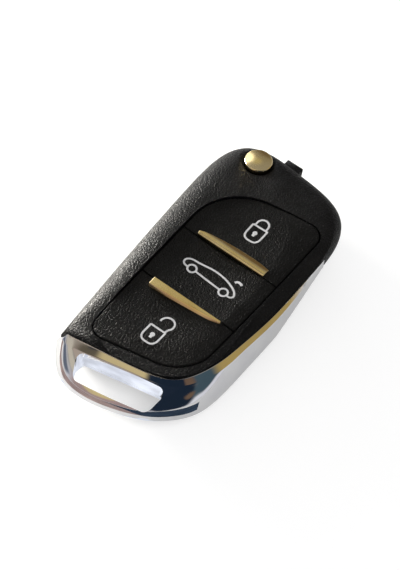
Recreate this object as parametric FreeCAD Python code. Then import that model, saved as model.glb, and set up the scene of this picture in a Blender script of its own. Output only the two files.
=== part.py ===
# Flip key fob shell, in millimetres.
# +X is the side with the bright right wall, +Y the hub end, +Z the button face.
# The fob lies on its rear face, and the origin is under the middle of its box.
import FreeCAD, Part
import math
import os

Vec = FreeCAD.Vector
up = Vec(0, 0, 1)
os.makedirs("parts", exist_ok=True)

# Case
left_x = -18.9          # left wall of the covers at its widest, beside the blade
right_x = 17.4          # right wall of the covers, behind the bright frame
top_y = 37.2            # wall at the hub end
foot_y = -32.0          # lower left corner of the covers
face_z = 15.0           # button face
parting_z = 6.5         # joint between the front and rear cover
widest_z = 11.0         # the covers are widest here
rear_edge_radius = 2.2  # rounding round the rear face
wall = 1.6              # cover wall
floor = 1.6             # rear cover floor
shoulder_top_z = 15.02  # the shoulder would end here, just above the flat face
shoulder_steps = 7      # strips that make the rolled shoulder
rear_steps = 4          # strips that make the rounding of the rear face
crown_start_x = 7.5     # the face starts to fall towards the right wall here
crown_radius_x = 58.0
crown_start_y = -19.0   # and towards the foot here
crown_radius_y = 75.0

# Buttons
key_left = -11.6        # edges of the three buttons taken together
key_right = 13.5
key_top = 24.6
key_foot = -27.6
division_pitch = 15.2   # between the two lines that part the buttons
division_mid_y = -1.83
key_groove = 0.32       # gap round the buttons
division_gap = 0.22     # gap between two buttons
key_travel = 0.45
flange_height = 0.7
flange_width = 0.8
flange_play = 0.05
dish_depth = 0.85       # hollow in the middle of the buttons
dish_half_width = 13.8
dish_half_length = 27.5
dish_x = -2.5
dish_y = 0.5

# Gold strips
strip_left = -7.9
strip_right = 9.9
strip_seat_z = 13.3
lock_strip_top = 15.35
unlock_strip_top = 15.45

# Bright frame
frame_bottom_z = 6.0
frame_skirt = 1.2       # upright wall under the sloped foot
lip_z = 12.9            # outer edge of the bevel
bevel_top_z = 14.2      # inner edge of the bevel, at the covers
frame_right = 18.7
frame_foot = -38.6
tongue_depth = 1.5      # ledge that the covers clamp
tongue_height = 1.0
slot_left = -9.5
slot_right = 11.0
slot_case_y = -31.15    # case side of the key-ring slot, above the origin
slot_width = 5.1        # from its case side to its ring side, at its middle
slot_slant = 0.228      # rise of the slot per millimetre towards +X
slot_radius = 1.7
slot_flare_z = 8.0      # below this height the slot's case side opens towards the rear
slot_flare = 0.75       # by this much per millimetre

# Hub, blade and release button
hub_x = left_x + 9.3
hub_y = top_y - 5.7
hub_radius = 4.8
hub_play = 0.08
hub_bottom_z = 1.45
hub_top_z = 12.75
hub_bore = 3.9
blade_z = 7.0           # middle of the blade's thickness
blade_thick = 2.2
blade_width = 8.0
blade_inner = 1.7       # blade's inner edge, right of the hub's axis
blade_reach = 50.0      # tip from the hub's axis
blade_root_width = 4.0
groove_width = 1.6
groove_depth = 0.55
neck_reach = 12.0
neck_height = 4.6
neck_side = 0.1         # neck stands this much past the blade's edges
swing_play = 0.3
pin_radius = 0.8
pin_reach = 8.6
button_radius = 3.25
button_play = 0.05
button_travel = 1.5
button_sunk = 0.6       # pressed in, its top lies this far below the face
button_flange = 3.8
button_flange_height = 1.2
lip_thick = 1.55        # hub's upper lip, which holds the button in
cap_radius = 3.4
cap_flange = 4.0
cap_flange_height = 0.6
spring_wire = 0.7
spring_turns = 4
spring_sides = 6        # sides of the wire's section
spring_radius = 3.1     # middle of the wire

# Electronics
rib_x = -6.2            # wall between blade channel and electronics
membrane_z = 11.0
membrane_thick = 0.7
board_z = 7.0
board_thick = 0.8
board_play = 0.3
cell_x = 2.4
cell_y = -4.0
cell_radius = 8.0
cell_thick = 2.0
cell_z = 2.4
cell_play = 0.15
contact_thick = 0.3
post_radius = 1.1
switch_x = 2.4
switch_size = (4.2, 3.4, 1.9)
plunger_radius = 1.0
chip_size = (5.0, 5.0, 1.0)
chip_x = 9.0
chip_y = 6.0
transponder_size = (12.0, 6.0, 3.0)
transponder_x = 2.4
transponder_y = 18.0
contact_half = 2.2      # half width of both cell contacts
leaf_half = 6.0         # half length of the bowed contact under the cell
leaf_foot = 1.0         # flat foot at each of its ends

# Small lug at the hub end of the front cover
lug_left = -5.6
lug_width = 4.3
lug_reach = 1.4
lug_bottom = 10.0
lug_top = 12.5

# Heights that follow from these
membrane_top = membrane_z + membrane_thick
key_bottom_z = membrane_top + key_travel + flange_play
button_top_z = face_z - button_sunk + button_travel
board_top = board_z + board_thick

# Outline of the covers seen from the face, from the lower left corner up the left wall and round.
# Each point has its place, how far the shoulder rolls inwards and how far the rear face stands in.
# The corner comes twice: first with what the left wall has there, last with what the foot has.
rolled = 6.0
rolled_corner = 3.8
rolled_top = 4.2
crisp = 0.35
lean_left = 1.3
lean_top = 3.2
lean_right = 5.0
lean_foot = 3.0
cover_outline = [
    (left_x + 3.8, foot_y, rolled_corner, lean_left),
    (left_x + 2.7, foot_y + 12.0, 4.7, lean_left),
    (left_x + 1.95, foot_y + 21.5, 5.3, lean_left),
    (left_x + 1.1, foot_y + 33.0, 5.8, lean_left),
    (left_x + 0.3, top_y - 23.0, rolled, lean_left),
    (left_x, top_y - 13.5, 5.9, lean_left),
    (left_x + 0.9, top_y - 6.6, 5.6, 1.8),
    (left_x + 3.4, top_y - 2.4, 5.2, 2.3),
    (left_x + 7.0, top_y - 0.5, 4.7, 2.8),
    (left_x + 11.5, top_y - 0.05, rolled_top, lean_top),
    (0.0, top_y - 0.65, rolled_top, lean_top),
    (8.0, top_y - 1.9, rolled_top, lean_top),
    (right_x - 3.8, top_y - 4.9, rolled_top, 3.8),
    (right_x - 1.1, top_y - 10.0, 3.0, 4.4),
    (right_x - 0.1, top_y - 18.0, 0.8, lean_right),
    (right_x, top_y - 28.0, crisp, lean_right),
    (right_x - 0.2, foot_y + 30.5, crisp, lean_right),
    (right_x - 1.2, foot_y + 21.0, crisp, lean_right),
    (right_x - 2.8, foot_y + 12.7, crisp, lean_right),
    (right_x - 5.5, foot_y + 7.0, crisp, lean_right),
    (right_x - 9.5, foot_y + 4.1, crisp, lean_right),
    (2.0, foot_y + 2.55, crisp, lean_right),
    (-5.6, foot_y + 1.2, crisp, 4.0),
    (left_x + 3.8, foot_y, crisp, lean_foot),
]
almost_crisp = 1.0      # the bright frame begins at the first outline point with less roll than this
frame_tip = [roll < almost_crisp for x, y, roll, lean in cover_outline].index(True)


def box(x0, y0, z0, x1, y1, z1):
    return Part.makeBox(x1 - x0, y1 - y0, z1 - z0, Vec(x0, y0, z0))


def cylinder(x, y, z0, z1, radius):
    return Part.makeCylinder(radius, z1 - z0, Vec(x, y, z0), up)


def prism(wire, z0, z1):
    """Upright solid on a flat wire drawn at any height."""
    ends = [wire.copy(), wire.copy()]
    for end, z in zip(ends, (z0, z1)):
        end.translate(Vec(0, 0, z - wire.BoundBox.ZMin))
    return Part.makeLoft(ends, True, True)


def chord_parameters(points):
    total = [0.0]
    for a, b in zip(points, points[1:]):
        total.append(total[-1] + a.distanceToPoint(b))
    return [t / total[-1] for t in total]


base_points = [Vec(x, y, 0) for x, y, roll, lean in cover_outline]
base_parameters = chord_parameters(base_points)
base_curve = Part.BSplineCurve()
base_curve.interpolate(Points=base_points, Parameters=base_parameters)


def inward(i):
    """Unit direction into the case, square to the outline at its point i."""
    along = base_curve.tangent(base_parameters[i])[0]
    return Vec(along.y, -along.x, 0)


def drawn_in(z, roll, lean):
    """How far a wall stands in from the outline at height z, with the rear edge rounded."""
    if z < widest_z:
        low = max(0.0, 1 - z / rear_edge_radius)
        inset = lean * (1 - z / widest_z) + rear_edge_radius * (1 - math.sqrt(1 - low * low))
    else:
        rise = min(1.0, (z - widest_z) / (shoulder_top_z - widest_z))
        inset = roll * (1 - math.sqrt(1 - rise * rise))
    return inset


def section_points(z, extra):
    """Outline of the covers at height z, drawn in by a further amount."""
    insets = [drawn_in(z, roll, lean) + extra for x, y, roll, lean in cover_outline]
    points = [base_points[i] + inward(i) * inset for i, inset in enumerate(insets)]
    left = inward(0)
    foot = inward(len(points) - 1)
    turn = left.x * foot.y - left.y * foot.x
    corner = base_points[0] + Vec((insets[0] * foot.y - insets[-1] * left.y) / turn,
                                  (insets[-1] * left.x - insets[0] * foot.x) / turn, 0)
    points[0] = points[-1] = corner
    return [point + Vec(0, 0, z) for point in points]


def section(z, extra=0.0):
    curve = Part.BSplineCurve()
    curve.interpolate(Points=section_points(z, extra), Parameters=base_parameters)
    split = base_parameters[frame_tip]
    return Part.Wire([curve.toShape(0.0, split), curve.toShape(split, 1.0)])


def case_block():
    """The covers' common outer form, without the fall of the face."""
    height = shoulder_top_z - widest_z
    turns = [90.0 * i / rear_steps for i in range(rear_steps + 1)]
    levels = [rear_edge_radius * (1 - math.cos(math.radians(a))) for a in turns]
    turns = [90.0 * i / shoulder_steps for i in range(shoulder_steps + 1)]
    levels += [widest_z + height * math.sin(math.radians(a)) for a in turns]
    return Part.makeLoft([section(z) for z in levels], True, True)


def crown_block():
    """Everything below the button face, which falls gently to the right wall and to the foot."""
    far = 60.0
    low = -5.0

    def profile(start, radius, sign, place):
        angle = math.asin(22.0 / radius)
        end = start + sign * radius * math.sin(angle)
        end_z = face_z - radius * (1 - math.cos(angle))
        mid = start + sign * radius * math.sin(angle / 2)
        mid_z = face_z - radius * (1 - math.cos(angle / 2))
        corner = [place(-sign * far, low), place(-sign * far, face_z), place(start, face_z)]
        edges = [Part.makeLine(corner[0], corner[1]), Part.makeLine(corner[1], corner[2])]
        edges.append(Part.Arc(corner[2], place(mid, mid_z), place(end, end_z)).toShape())
        edges.append(Part.makeLine(place(end, end_z), place(end, low)))
        edges.append(Part.makeLine(place(end, low), corner[0]))
        return Part.Face(Part.Wire(edges))

    across = profile(crown_start_x, crown_radius_x, 1, lambda u, z: Vec(u, -far, z))
    along = profile(crown_start_y, crown_radius_y, -1, lambda u, z: Vec(-far, u, z))
    return across.extrude(Vec(0, 2 * far, 0)).common(along.extrude(Vec(2 * far, 0, 0)))


def grown_corners(corners, grow):
    """Corners of the outline whose sides all stand further out, for corners listed anticlockwise."""
    count = len(corners)
    grown = []
    for i in range(count):
        here = Vec(*corners[i])
        before = (here - Vec(*corners[i - 1])).normalize()
        after = (Vec(*corners[(i + 1) % count]) - here).normalize()
        turn = before.x * after.y - before.y * after.x
        shift = (before - after) * (grow / turn)
        grown.append((here.x + shift.x, here.y + shift.y))
    return grown


def bowed_prism(corners, bows, radii, z0, z1, grow=0.0):
    """Upright block on a four-sided outline with bowed sides and rounded corners."""
    count = len(corners)
    points = [Vec(x, y, z0) for x, y in grown_corners(corners, grow)]
    edges = []
    for i in range(count):
        a = points[i]
        b = points[(i + 1) % count]
        along = (b - a).normalize()
        if bows[i] == 0.0:
            edges.append(Part.makeLine(a, b))
            continue
        middle = (a + b) * 0.5 + Vec(along.y, -along.x, 0) * bows[i]
        edges.append(Part.Arc(a, middle, b).toShape())
    block = Part.Face(Part.Wire(edges)).extrude(Vec(0, 0, z1 - z0))
    for i in range(count):
        upright = [e for e in block.Edges if is_upright_at(e, points[i])]
        block = block.makeFillet(radii[i] + grow, upright)
    return block


def is_upright_at(edge, point):
    bounds = edge.BoundBox
    close = abs(bounds.XMin - point.x) < 1e-4 and abs(bounds.YMin - point.y) < 1e-4
    return close and bounds.XLength < 1e-4 and bounds.YLength < 1e-4


def key_block(z0, z1, grow=0.0):
    """The three buttons taken together, anticlockwise from the lower left corner."""
    corners = [(key_left + 1.0, key_foot - 1.6), (key_right - 0.9, key_foot + 3.2),
               (key_right + 0.2, key_top + 0.3), (key_left, key_top - 3.8)]
    return bowed_prism(corners, [0.0, 0.3, 0.55, 0.35], [3.0, 9.5, 3.2, 13.5], z0, z1, grow)


def dish():
    """Everything above the shallow bowl z = face - depth * (1 - (x / a)^2 - (y / b)^2)."""
    reach_x = 1.6 * dish_half_width
    reach_y = 1.6 * dish_half_length
    surface = Part.BezierSurface()
    surface.increase(2, 2)
    for i, along in enumerate((-1, 0, 1)):
        for j, across in enumerate((-1, 0, 1)):
            rise_x = (reach_x / dish_half_width) ** 2 * (-1 if along == 0 else 1)
            rise_y = (reach_y / dish_half_length) ** 2 * (-1 if across == 0 else 1)
            z = face_z - dish_depth * (1 - rise_x - rise_y)
            surface.setPole(i + 1, j + 1, Vec(dish_x + along * reach_x, dish_y + across * reach_y, z))
    return surface.toShape().extrude(Vec(0, 0, 4 * dish_depth + face_z))


def division_y(index):
    """Line between two buttons: 0 is the lower one, 1 the upper one."""
    return division_mid_y + (index - 0.5) * division_pitch


def arc_edge(start, direction, reach, end):
    """Arc that leaves start in a direction, with the corner of its two tangents at that reach, to end."""
    corner = start + direction * reach
    chord_mid = (start + end) * 0.5
    half_turn = direction.getAngle(end - start)
    middle = chord_mid + (corner - chord_mid) * (math.tan(half_turn / 2) / math.tan(half_turn))
    return Part.Arc(start, middle, end).toShape()


def coil_path(radius, turns, z0, z1):
    """Coil as biarcs of half a turn: two arcs with a common tangent where they meet."""
    rise = (z1 - z0) / (2 * turns)
    edges = []
    for i in range(2 * turns):
        side = 1 if i % 2 == 0 else -1
        start = Vec(side * radius, 0, z0 + rise * i)
        end = Vec(-side * radius, 0, z0 + rise * (i + 1))
        leave = Vec(0, side * math.pi * radius, rise).normalize()
        arrive = Vec(0, -side * math.pi * radius, rise).normalize()
        span = end - start
        both = span.dot(leave + arrive)
        bend = 2 - 2 * leave.dot(arrive)
        reach = (math.sqrt(both * both + bend * span.dot(span)) - both) / bend
        meet = (start + leave * reach + end - arrive * reach) * 0.5
        edges.append(arc_edge(start, leave, reach, meet))
        edges.append(arc_edge(meet, (end - arrive * reach - meet).normalize(), reach, end))
    return Part.Wire(edges)


def coil(radius, wire_size, sides, turns, z0, z1):
    """Wire with a many-sided section, carried along the coil."""
    path = coil_path(radius, turns, z0, z1)
    leave = Vec(0, math.pi * radius, (z1 - z0) / (2 * turns)).normalize()
    start = Vec(radius, 0, z0)
    side = Vec(1, 0, 0)
    other = leave.cross(side)
    corners = []
    for i in range(sides + 1):
        angle = 2 * math.pi * i / sides
        corners.append(start + (side * math.cos(angle) + other * math.sin(angle)) * (wire_size / 2))
    tube = path.makePipeShell([Part.makePolygon(corners)], True, False)
    points = []
    for edge in path.Edges:
        points += edge.discretize(Number=13)[:-1]
    per_turn = 48
    gaps = [a.distanceToPoint(b) for a, b in zip(points, points[per_turn:])]
    near = [points[i].distanceToPoint(points[i + k]) for k in (per_turn - 1, per_turn + 1)
            for i in range(len(points) - k)]
    print("least gap between turns of the spring", round(min(gaps + near) - wire_size, 3))
    return tube


# Outer forms
case_all = case_block()
crown = crown_block()
above = 4.0
case_tall = case_all.fuse(prism(section(widest_z), widest_z, face_z + above))


def save(name, shape):
    shape = shape.removeSplitter()
    solids = shape.Solids
    kept = solids[0] if len(solids) == 1 else Part.makeCompound(solids)
    kept.exportStep("parts/" + name + ".step")
    print(name, "solids", len(solids), "volume", round(kept.Volume, 2), "valid", kept.isValid())
    return kept


# Bright frame, station by station from its upper tip round the foot to the left wall.
# Beside the covers a station names their outline point, the bevel's width and the foot of the wall.
frame_stations = [
    (frame_tip, 0.1, (right_x + 0.2, top_y - 17.8)),
    (frame_tip + 1, 0.5, (frame_right - 0.4, top_y - 28.6)),
    (frame_tip + 2, 0.8, (frame_right, foot_y + 30.0)),
    (frame_tip + 3, 1.0, (frame_right - 0.15, foot_y + 20.0)),
    (frame_tip + 4, 1.4, (frame_right - 0.75, foot_y + 9.6)),
    (frame_tip + 5, 1.2, (frame_right - 3.0, foot_y + 3.7)),
    (frame_tip + 6, 1.1, (frame_right - 8.3, foot_y - 1.6)),
    (frame_tip + 7, 1.0, (3.6, frame_foot + 1.8)),
    (frame_tip + 8, 1.4, (-5.0, frame_foot)),
]
# Round the lower left corner a station has the place of the bevel's top, of its lip and of the wall's foot.
corner_stations = [
    ((left_x + 5.9, foot_y + 0.5), (left_x + 5.8, foot_y - 1.5), (left_x + 6.3, frame_foot + 2.3)),
    ((left_x + 3.9, foot_y + 0.4), (left_x + 3.3, foot_y - 0.4), (left_x + 2.6, foot_y + 0.3)),
]
bevel_reach = 0.5       # the bevel runs on this far inside the covers' outline
top_line = []
lip_line = []
low_line = []
for index, width, foot_place in frame_stations:
    place = base_points[index]
    into_case = inward(index)
    top_line.append(place + into_case * bevel_reach)
    lip_line.append(place - into_case * width)
    low_line.append(Vec(*foot_place))
for top_place, lip_place, foot_place in corner_stations:
    top_line.append(Vec(*top_place))
    lip_line.append(Vec(*lip_place))
    low_line.append(Vec(*foot_place))
frame_parameters = chord_parameters([(lip + low) * 0.5 for lip, low in zip(lip_line, low_line)])


def frame_line(points, z):
    """Outline of the frame at one height: a curve outside the covers, closed inside them."""
    places = [Vec(point.x, point.y, z) for point in points]
    curve = Part.BSplineCurve()
    curve.interpolate(Points=places, Parameters=frame_parameters)
    inner_foot = Vec(left_x + 9.0, foot_y + 8.0, z)
    inner_top = Vec(right_x - 8.0, top_y - 28.0, z)
    edges = [curve.toShape(), Part.makeLine(places[-1], inner_foot)]
    edges += [Part.makeLine(inner_foot, inner_top), Part.makeLine(inner_top, places[0])]
    return Part.Wire(edges)


skirt_z = frame_bottom_z + frame_skirt
bevel_end_z = lip_z + (bevel_top_z - lip_z) * (1 + bevel_reach)
wall_steps = 5          # strips that make the hollow slope from the skirt to the lip
slope_start = 0.08      # slope where it leaves the skirt, as a share of its mean slope
wall_levels = []
for step in range(wall_steps + 1):
    rise = step / wall_steps
    share = slope_start * rise + (1 - slope_start) * rise * rise
    line = [low + (lip - low) * share for low, lip in zip(low_line, lip_line)]
    wall_levels.append((line, skirt_z + (lip_z - skirt_z) * rise))
bevel_levels = [(lip_line, lip_z), (top_line, bevel_end_z)]
frame_block = prism(frame_line(low_line, frame_bottom_z), frame_bottom_z, skirt_z)
wall_lines = [frame_line(points, z) for points, z in wall_levels]
bevel_lines = [frame_line(points, z) for points, z in bevel_levels]
frame_block = frame_block.fuse(Part.makeLoft(wall_lines, True, True))
frame_block = frame_block.fuse(Part.makeLoft(bevel_lines, True, True))


def slot_block():
    """Key-ring slot: straight through, and opened towards the case below the flare's height."""
    def case_side(x):
        return slot_case_y + slot_slant * x

    ring_bow = 0.55
    corners = [(slot_left, case_side(slot_left)),
               (slot_left + 2.2, case_side(slot_left + 2.2) - slot_width + ring_bow),
               (slot_right - 1.4, case_side(slot_right - 1.4) - slot_width + ring_bow),
               (slot_right, case_side(slot_right))]
    bows = [0.0, ring_bow, 0.0, 0.0]
    radii = [slot_radius] * 4
    straight = bowed_prism(corners, bows, radii, frame_bottom_z - 1.0, face_z)
    outline = bowed_prism(corners, bows, radii, slot_flare_z, face_z)
    base = [face for face in outline.Faces if face.BoundBox.ZMax < slot_flare_z + 1e-4][0]
    depth = slot_flare_z - frame_bottom_z + 1.0
    return straight.fuse(base.extrude(Vec(0, slot_flare * depth, -depth)))


def outside_shoulder():
    """Everything left of the rolled shoulder, carried on past the foot, so that the frame's end rolls too."""
    start_y = frame_foot - 5
    low = Vec(left_x + 2.5, start_y, widest_z - 2.5)
    middle = Vec(left_x + 3.5, start_y, lip_z - 0.3)
    high = Vec(left_x + 6.6, start_y, face_z + 0.3)
    outer_low = Vec(left_x - 5, start_y, widest_z - 2.5)
    outer_high = Vec(left_x - 5, start_y, face_z + 0.3)
    edges = [Part.Arc(low, middle, high).toShape(), Part.makeLine(high, outer_high)]
    edges += [Part.makeLine(outer_high, outer_low), Part.makeLine(outer_low, low)]
    return Part.Face(Part.Wire(edges)).extrude(Vec(0, -start_y, 0))


def frame_horn_cut():
    """Space under and past the frame's upper end, where its foot rises and it ends in a horn."""
    rise_start = Vec(0, top_y - 38.7, frame_bottom_z - 1)
    rise_middle = Vec(0, top_y - 27.0, frame_bottom_z + 3.4)
    horn_low = Vec(0, top_y - 17.0, frame_bottom_z + 5.3)
    horn_high = Vec(0, top_y - 18.2, face_z)
    far_high = Vec(0, top_y, face_z)
    far_low = Vec(0, top_y, frame_bottom_z - 1)
    corners = [horn_low, horn_high, far_high, far_low, rise_start]
    edges = [Part.Arc(rise_start, rise_middle, horn_low).toShape()]
    edges += [Part.makeLine(a, b) for a, b in zip(corners, corners[1:])]
    return Part.Face(Part.Wire(edges)).extrude(Vec(frame_right + 5, 0, 0))


slot = slot_block()
tongue_z = parting_z
tongue_slab = box(left_x, frame_foot, tongue_z, frame_right, top_y, tongue_z + tongue_height)
tongue_top_z = tongue_z + tongue_height
tongue_core = prism(section(tongue_top_z, tongue_depth), tongue_z - 1, tongue_top_z + 1)
frame_block = frame_block.cut(frame_horn_cut()).cut(outside_shoulder())
tongue = frame_block.common(tongue_slab).common(case_tall).cut(tongue_core)
chrome_frame = frame_block.cut(case_tall).fuse(tongue).cut(slot)
chrome_frame = save("chrome_frame", chrome_frame)


# Room that the blade, its neck and the hub need in both covers
def at_hub(x, y):
    return hub_x + x, hub_y + y


def swept_room(half_height, reach, inner, outer_far):
    """Everything that a bar on the hub passes as it swings from the foot end out to the hub end."""
    z0 = blade_z - half_height
    z1 = blade_z + half_height
    disc = cylinder(hub_x, hub_y, z0, z1, reach)
    stay_low = box(hub_x + inner, hub_y - reach - 1, z0 - 1, hub_x + reach + 1, hub_y, z1 + 1)
    stay_far = box(hub_x + outer_far, hub_y - 1, z0 - 1, hub_x + reach + 1, hub_y + reach + 1, z1 + 1)
    return disc.cut(stay_low).cut(stay_far)


blade_outer = blade_width - blade_inner
neck_inner = blade_inner + neck_side
neck_outer = blade_outer + neck_side
neck_swing = math.hypot(neck_outer, neck_reach) + swing_play
hub_room = cylinder(hub_x, hub_y, hub_bottom_z - flange_play, hub_top_z + flange_play, hub_radius + hub_play)
neck_room = swept_room(neck_height / 2 + swing_play, neck_swing, neck_inner + swing_play,
                       neck_outer + swing_play)
channel_half = blade_thick / 2 + 0.4
blade_room = box(left_x - 2, hub_y - blade_reach - 0.6, blade_z - channel_half,
                 hub_x + blade_inner + 0.5, hub_y, blade_z + channel_half)
moving_room = hub_room.fuse(neck_room).fuse(blade_room)

# Front cover
front_half = box(left_x - 1, frame_foot, parting_z, frame_right, top_y + 1, face_z + 1)
front_cover = case_all.common(front_half).common(crown)
lug = box(lug_left, top_y - 2.0, lug_bottom, lug_left + lug_width, top_y + lug_reach, lug_top)
lug = lug.makeFillet(0.35, [e for e in lug.Edges if e.BoundBox.YMin > top_y + lug_reach - 0.01])
front_cover = front_cover.fuse(lug)
key_opening = key_block(key_bottom_z - 1.5, face_z + 1, key_groove)
flange_room = key_block(membrane_top, key_bottom_z + flange_height + flange_play,
                        key_groove + flange_width)
membrane_room = key_block(membrane_z, membrane_top + 0.1, 0.0)
ledge_z = membrane_z - 1.5
right_side = box(rib_x, foot_y + 5.5, 0, frame_right, hub_y - 6.0, face_z)
upper_room = key_block(ledge_z - 0.1, membrane_z + 0.1, -1.6).common(right_side)
lower_room = prism(section(parting_z, wall + 0.4), parting_z - 0.1, ledge_z).common(right_side)
rim_depth = 0.8
button_hole = cylinder(hub_x, hub_y, hub_top_z, face_z + 1, button_radius + 0.15)
rim_low = Vec(hub_x, hub_y, face_z - rim_depth)
button_rim = Part.makeCone(button_radius + 0.15, button_radius + 1.0, rim_depth + 0.05, rim_low, up)
socket_places = [(left_x + 6.6, foot_y + 6.5), (right_x - 6.5, top_y - 7.0)]
socket_radius = 1.0
socket_play = 0.05
front_cover = front_cover.cut(key_opening).cut(flange_room).cut(membrane_room).cut(upper_room)
front_cover = front_cover.cut(lower_room).cut(moving_room).cut(button_hole).cut(button_rim)
for x, y in socket_places:
    front_cover = front_cover.cut(cylinder(x, y, parting_z, parting_z + 2.2, socket_radius + socket_play))
front_cover = front_cover.cut(tongue)
front_cover = save("front_cover", front_cover)

# Rear cover
rear_half = box(left_x - 1, frame_foot, 0, frame_right, top_y + 1, parting_z)
rear_cover = case_all.common(rear_half)
rear_room = prism(section(floor, wall), floor, parting_z + 0.1).common(right_side)
rear_cover = rear_cover.cut(rear_room)
cell_wall = 0.9
ring_radius = cell_radius + cell_play + cell_wall
cell_ring = cylinder(cell_x, cell_y, floor - 0.1, cell_z + cell_thick - 0.4, ring_radius)
cell_ring = cell_ring.cut(cylinder(cell_x, cell_y, floor - 0.2, parting_z, cell_radius + cell_play))
cell_gap = box(cell_x - 2.6, cell_y - 12, floor - 0.1, cell_x + 2.6, cell_y + 12, parting_z)
rear_cover = rear_cover.fuse(cell_ring.common(rear_half).common(right_side).cut(cell_gap))
post_places = [(-4.8, 9.5), (9.2, 9.0), (-4.8, -17.0), (8.0, -17.0)]
for x, y in post_places:
    rear_cover = rear_cover.fuse(cylinder(x, y, floor - 0.1, board_z, post_radius))
fence = 0.8
fence_play = 0.15
long_half = transponder_size[0] / 2 + fence_play
wide_half = transponder_size[1] / 2 + fence_play
pocket = box(transponder_x - long_half - fence, transponder_y - wide_half - fence, floor - 0.1,
             transponder_x + long_half + fence, transponder_y + wide_half + fence, floor + 2.0)
pocket = pocket.cut(box(transponder_x - long_half, transponder_y - wide_half, floor - 0.2,
                        transponder_x + long_half, transponder_y + wide_half, floor + 3.0))
rear_cover = rear_cover.fuse(pocket.common(case_all))
for x, y in socket_places:
    rear_cover = rear_cover.fuse(cylinder(x, y, parting_z - 1, parting_z + 2.0, socket_radius))
rear_cover = rear_cover.cut(moving_room)
cap_hole = cylinder(hub_x, hub_y, -1, hub_bottom_z + 0.5, cap_radius)
cap_seat = cylinder(hub_x, hub_y, -1, cap_flange_height, cap_flange)
rear_cover = rear_cover.cut(cap_hole).cut(cap_seat)
rear_cover = save("rear_cover", rear_cover)

# Buttons: the block is parted along two lines, and each button keeps its share of the flange
dish_tool = dish()
strip_roof = 2.0


def lock_strip_body():
    """Bar with a straight lower edge and a bowed upper edge, rounded over along its length."""
    line = division_y(1) + division_gap / 2 + 0.02
    corners = [Vec(strip_left, line, strip_seat_z), Vec(strip_right, line, strip_seat_z),
               Vec(strip_right - 0.35, line + 2.75, strip_seat_z),
               Vec(strip_left + 0.5, line + 1.15, strip_seat_z)]
    edges = [Part.makeLine(corners[0], corners[1]), Part.makeLine(corners[1], corners[2])]
    bow = Vec(2.2, line + 3.05, strip_seat_z)
    edges.append(Part.Arc(corners[2], bow, corners[3]).toShape())
    edges.append(Part.makeLine(corners[3], corners[0]))
    body = Part.Face(Part.Wire(edges)).extrude(Vec(0, 0, strip_roof + 2))
    radius = 3.6
    roof = Part.makeCylinder(radius, 40, Vec(-20, line + 0.9, lock_strip_top - radius), Vec(1, 0, 0))
    return body.common(roof)


def unlock_strip_body():
    """Bar with a level upper facet that narrows to the right and a lower facet that widens."""
    line = division_y(0) - division_gap / 2 - 0.02
    low = [Vec(strip_left + 0.1, line, strip_seat_z), Vec(strip_right, line, strip_seat_z),
           Vec(strip_right - 0.1, line - 1.6, strip_seat_z), Vec(strip_left + 0.4, line - 2.7, strip_seat_z)]
    high = [Vec(strip_left + 0.3, line, unlock_strip_top), Vec(strip_right - 0.2, line, unlock_strip_top),
            Vec(strip_right - 0.4, line - 0.35, unlock_strip_top),
            Vec(strip_left + 0.5, line - 2.45, unlock_strip_top)]
    wires = [Part.makePolygon(points + points[:1]) for points in (low, high)]
    return Part.makeLoft(wires, True, True)


strips = {"lock": lock_strip_body(), "unlock": unlock_strip_body()}
keys_all = key_block(key_bottom_z, face_z + 1).fuse(
    key_block(key_bottom_z, key_bottom_z + flange_height, flange_width))
keys_all = keys_all.common(crown).cut(dish_tool)
half_gap = division_gap / 2
key_spans = {
    "unlock": (key_foot - 4, division_y(0) - half_gap),
    "trunk": (division_y(0) + half_gap, division_y(1) - half_gap),
    "lock": (division_y(1) + half_gap, key_top + 4),
}
for name, (y0, y1) in key_spans.items():
    key = keys_all.common(box(left_x, y0, key_bottom_z - 1, frame_right, y1, face_z + 1))
    if name in strips:
        strip = strips[name]
        key = key.cut(strip)
        save(name + "_strip", strip)
    save(name + "_button", key)

# Rubber mat under the buttons
mat = key_block(membrane_z, membrane_top, -0.2)
save("button_membrane", mat)

# Hub with its neck
neck_half = neck_height / 2
neck_outline = [Vec(hub_x + x, hub_y + y, blade_z - neck_half) for x, y in (
    (-hub_radius, 0), (-neck_outer, -hub_radius), (-neck_outer, -neck_reach), (neck_inner, -neck_reach),
    (neck_inner, -hub_radius + 0.3), (0, 0), (-hub_radius, 0))]
neck = Part.Face(Part.makePolygon(neck_outline)).extrude(Vec(0, 0, neck_height))
root_start = hub_radius + 0.5
root_left = blade_inner - blade_width / 2 - blade_root_width / 2
root_slot = box(hub_x + root_left, hub_y - neck_reach, blade_z - blade_thick / 2,
                hub_x + root_left + blade_root_width, hub_y - root_start, blade_z + blade_thick / 2)
pin_x = hub_x + root_left + blade_root_width / 2
pin_y = hub_y - pin_reach
flip_hub = cylinder(hub_x, hub_y, hub_bottom_z, hub_top_z, hub_radius).fuse(neck)
flip_hub = flip_hub.cut(cylinder(hub_x, hub_y, hub_bottom_z, hub_top_z - lip_thick, hub_bore))
flip_hub = flip_hub.cut(cylinder(hub_x, hub_y, hub_bottom_z, hub_top_z, button_radius + button_play))
flip_hub = flip_hub.cut(root_slot).cut(cylinder(pin_x, pin_y, 0, face_z, pin_radius))
save("flip_hub", flip_hub)

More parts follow.
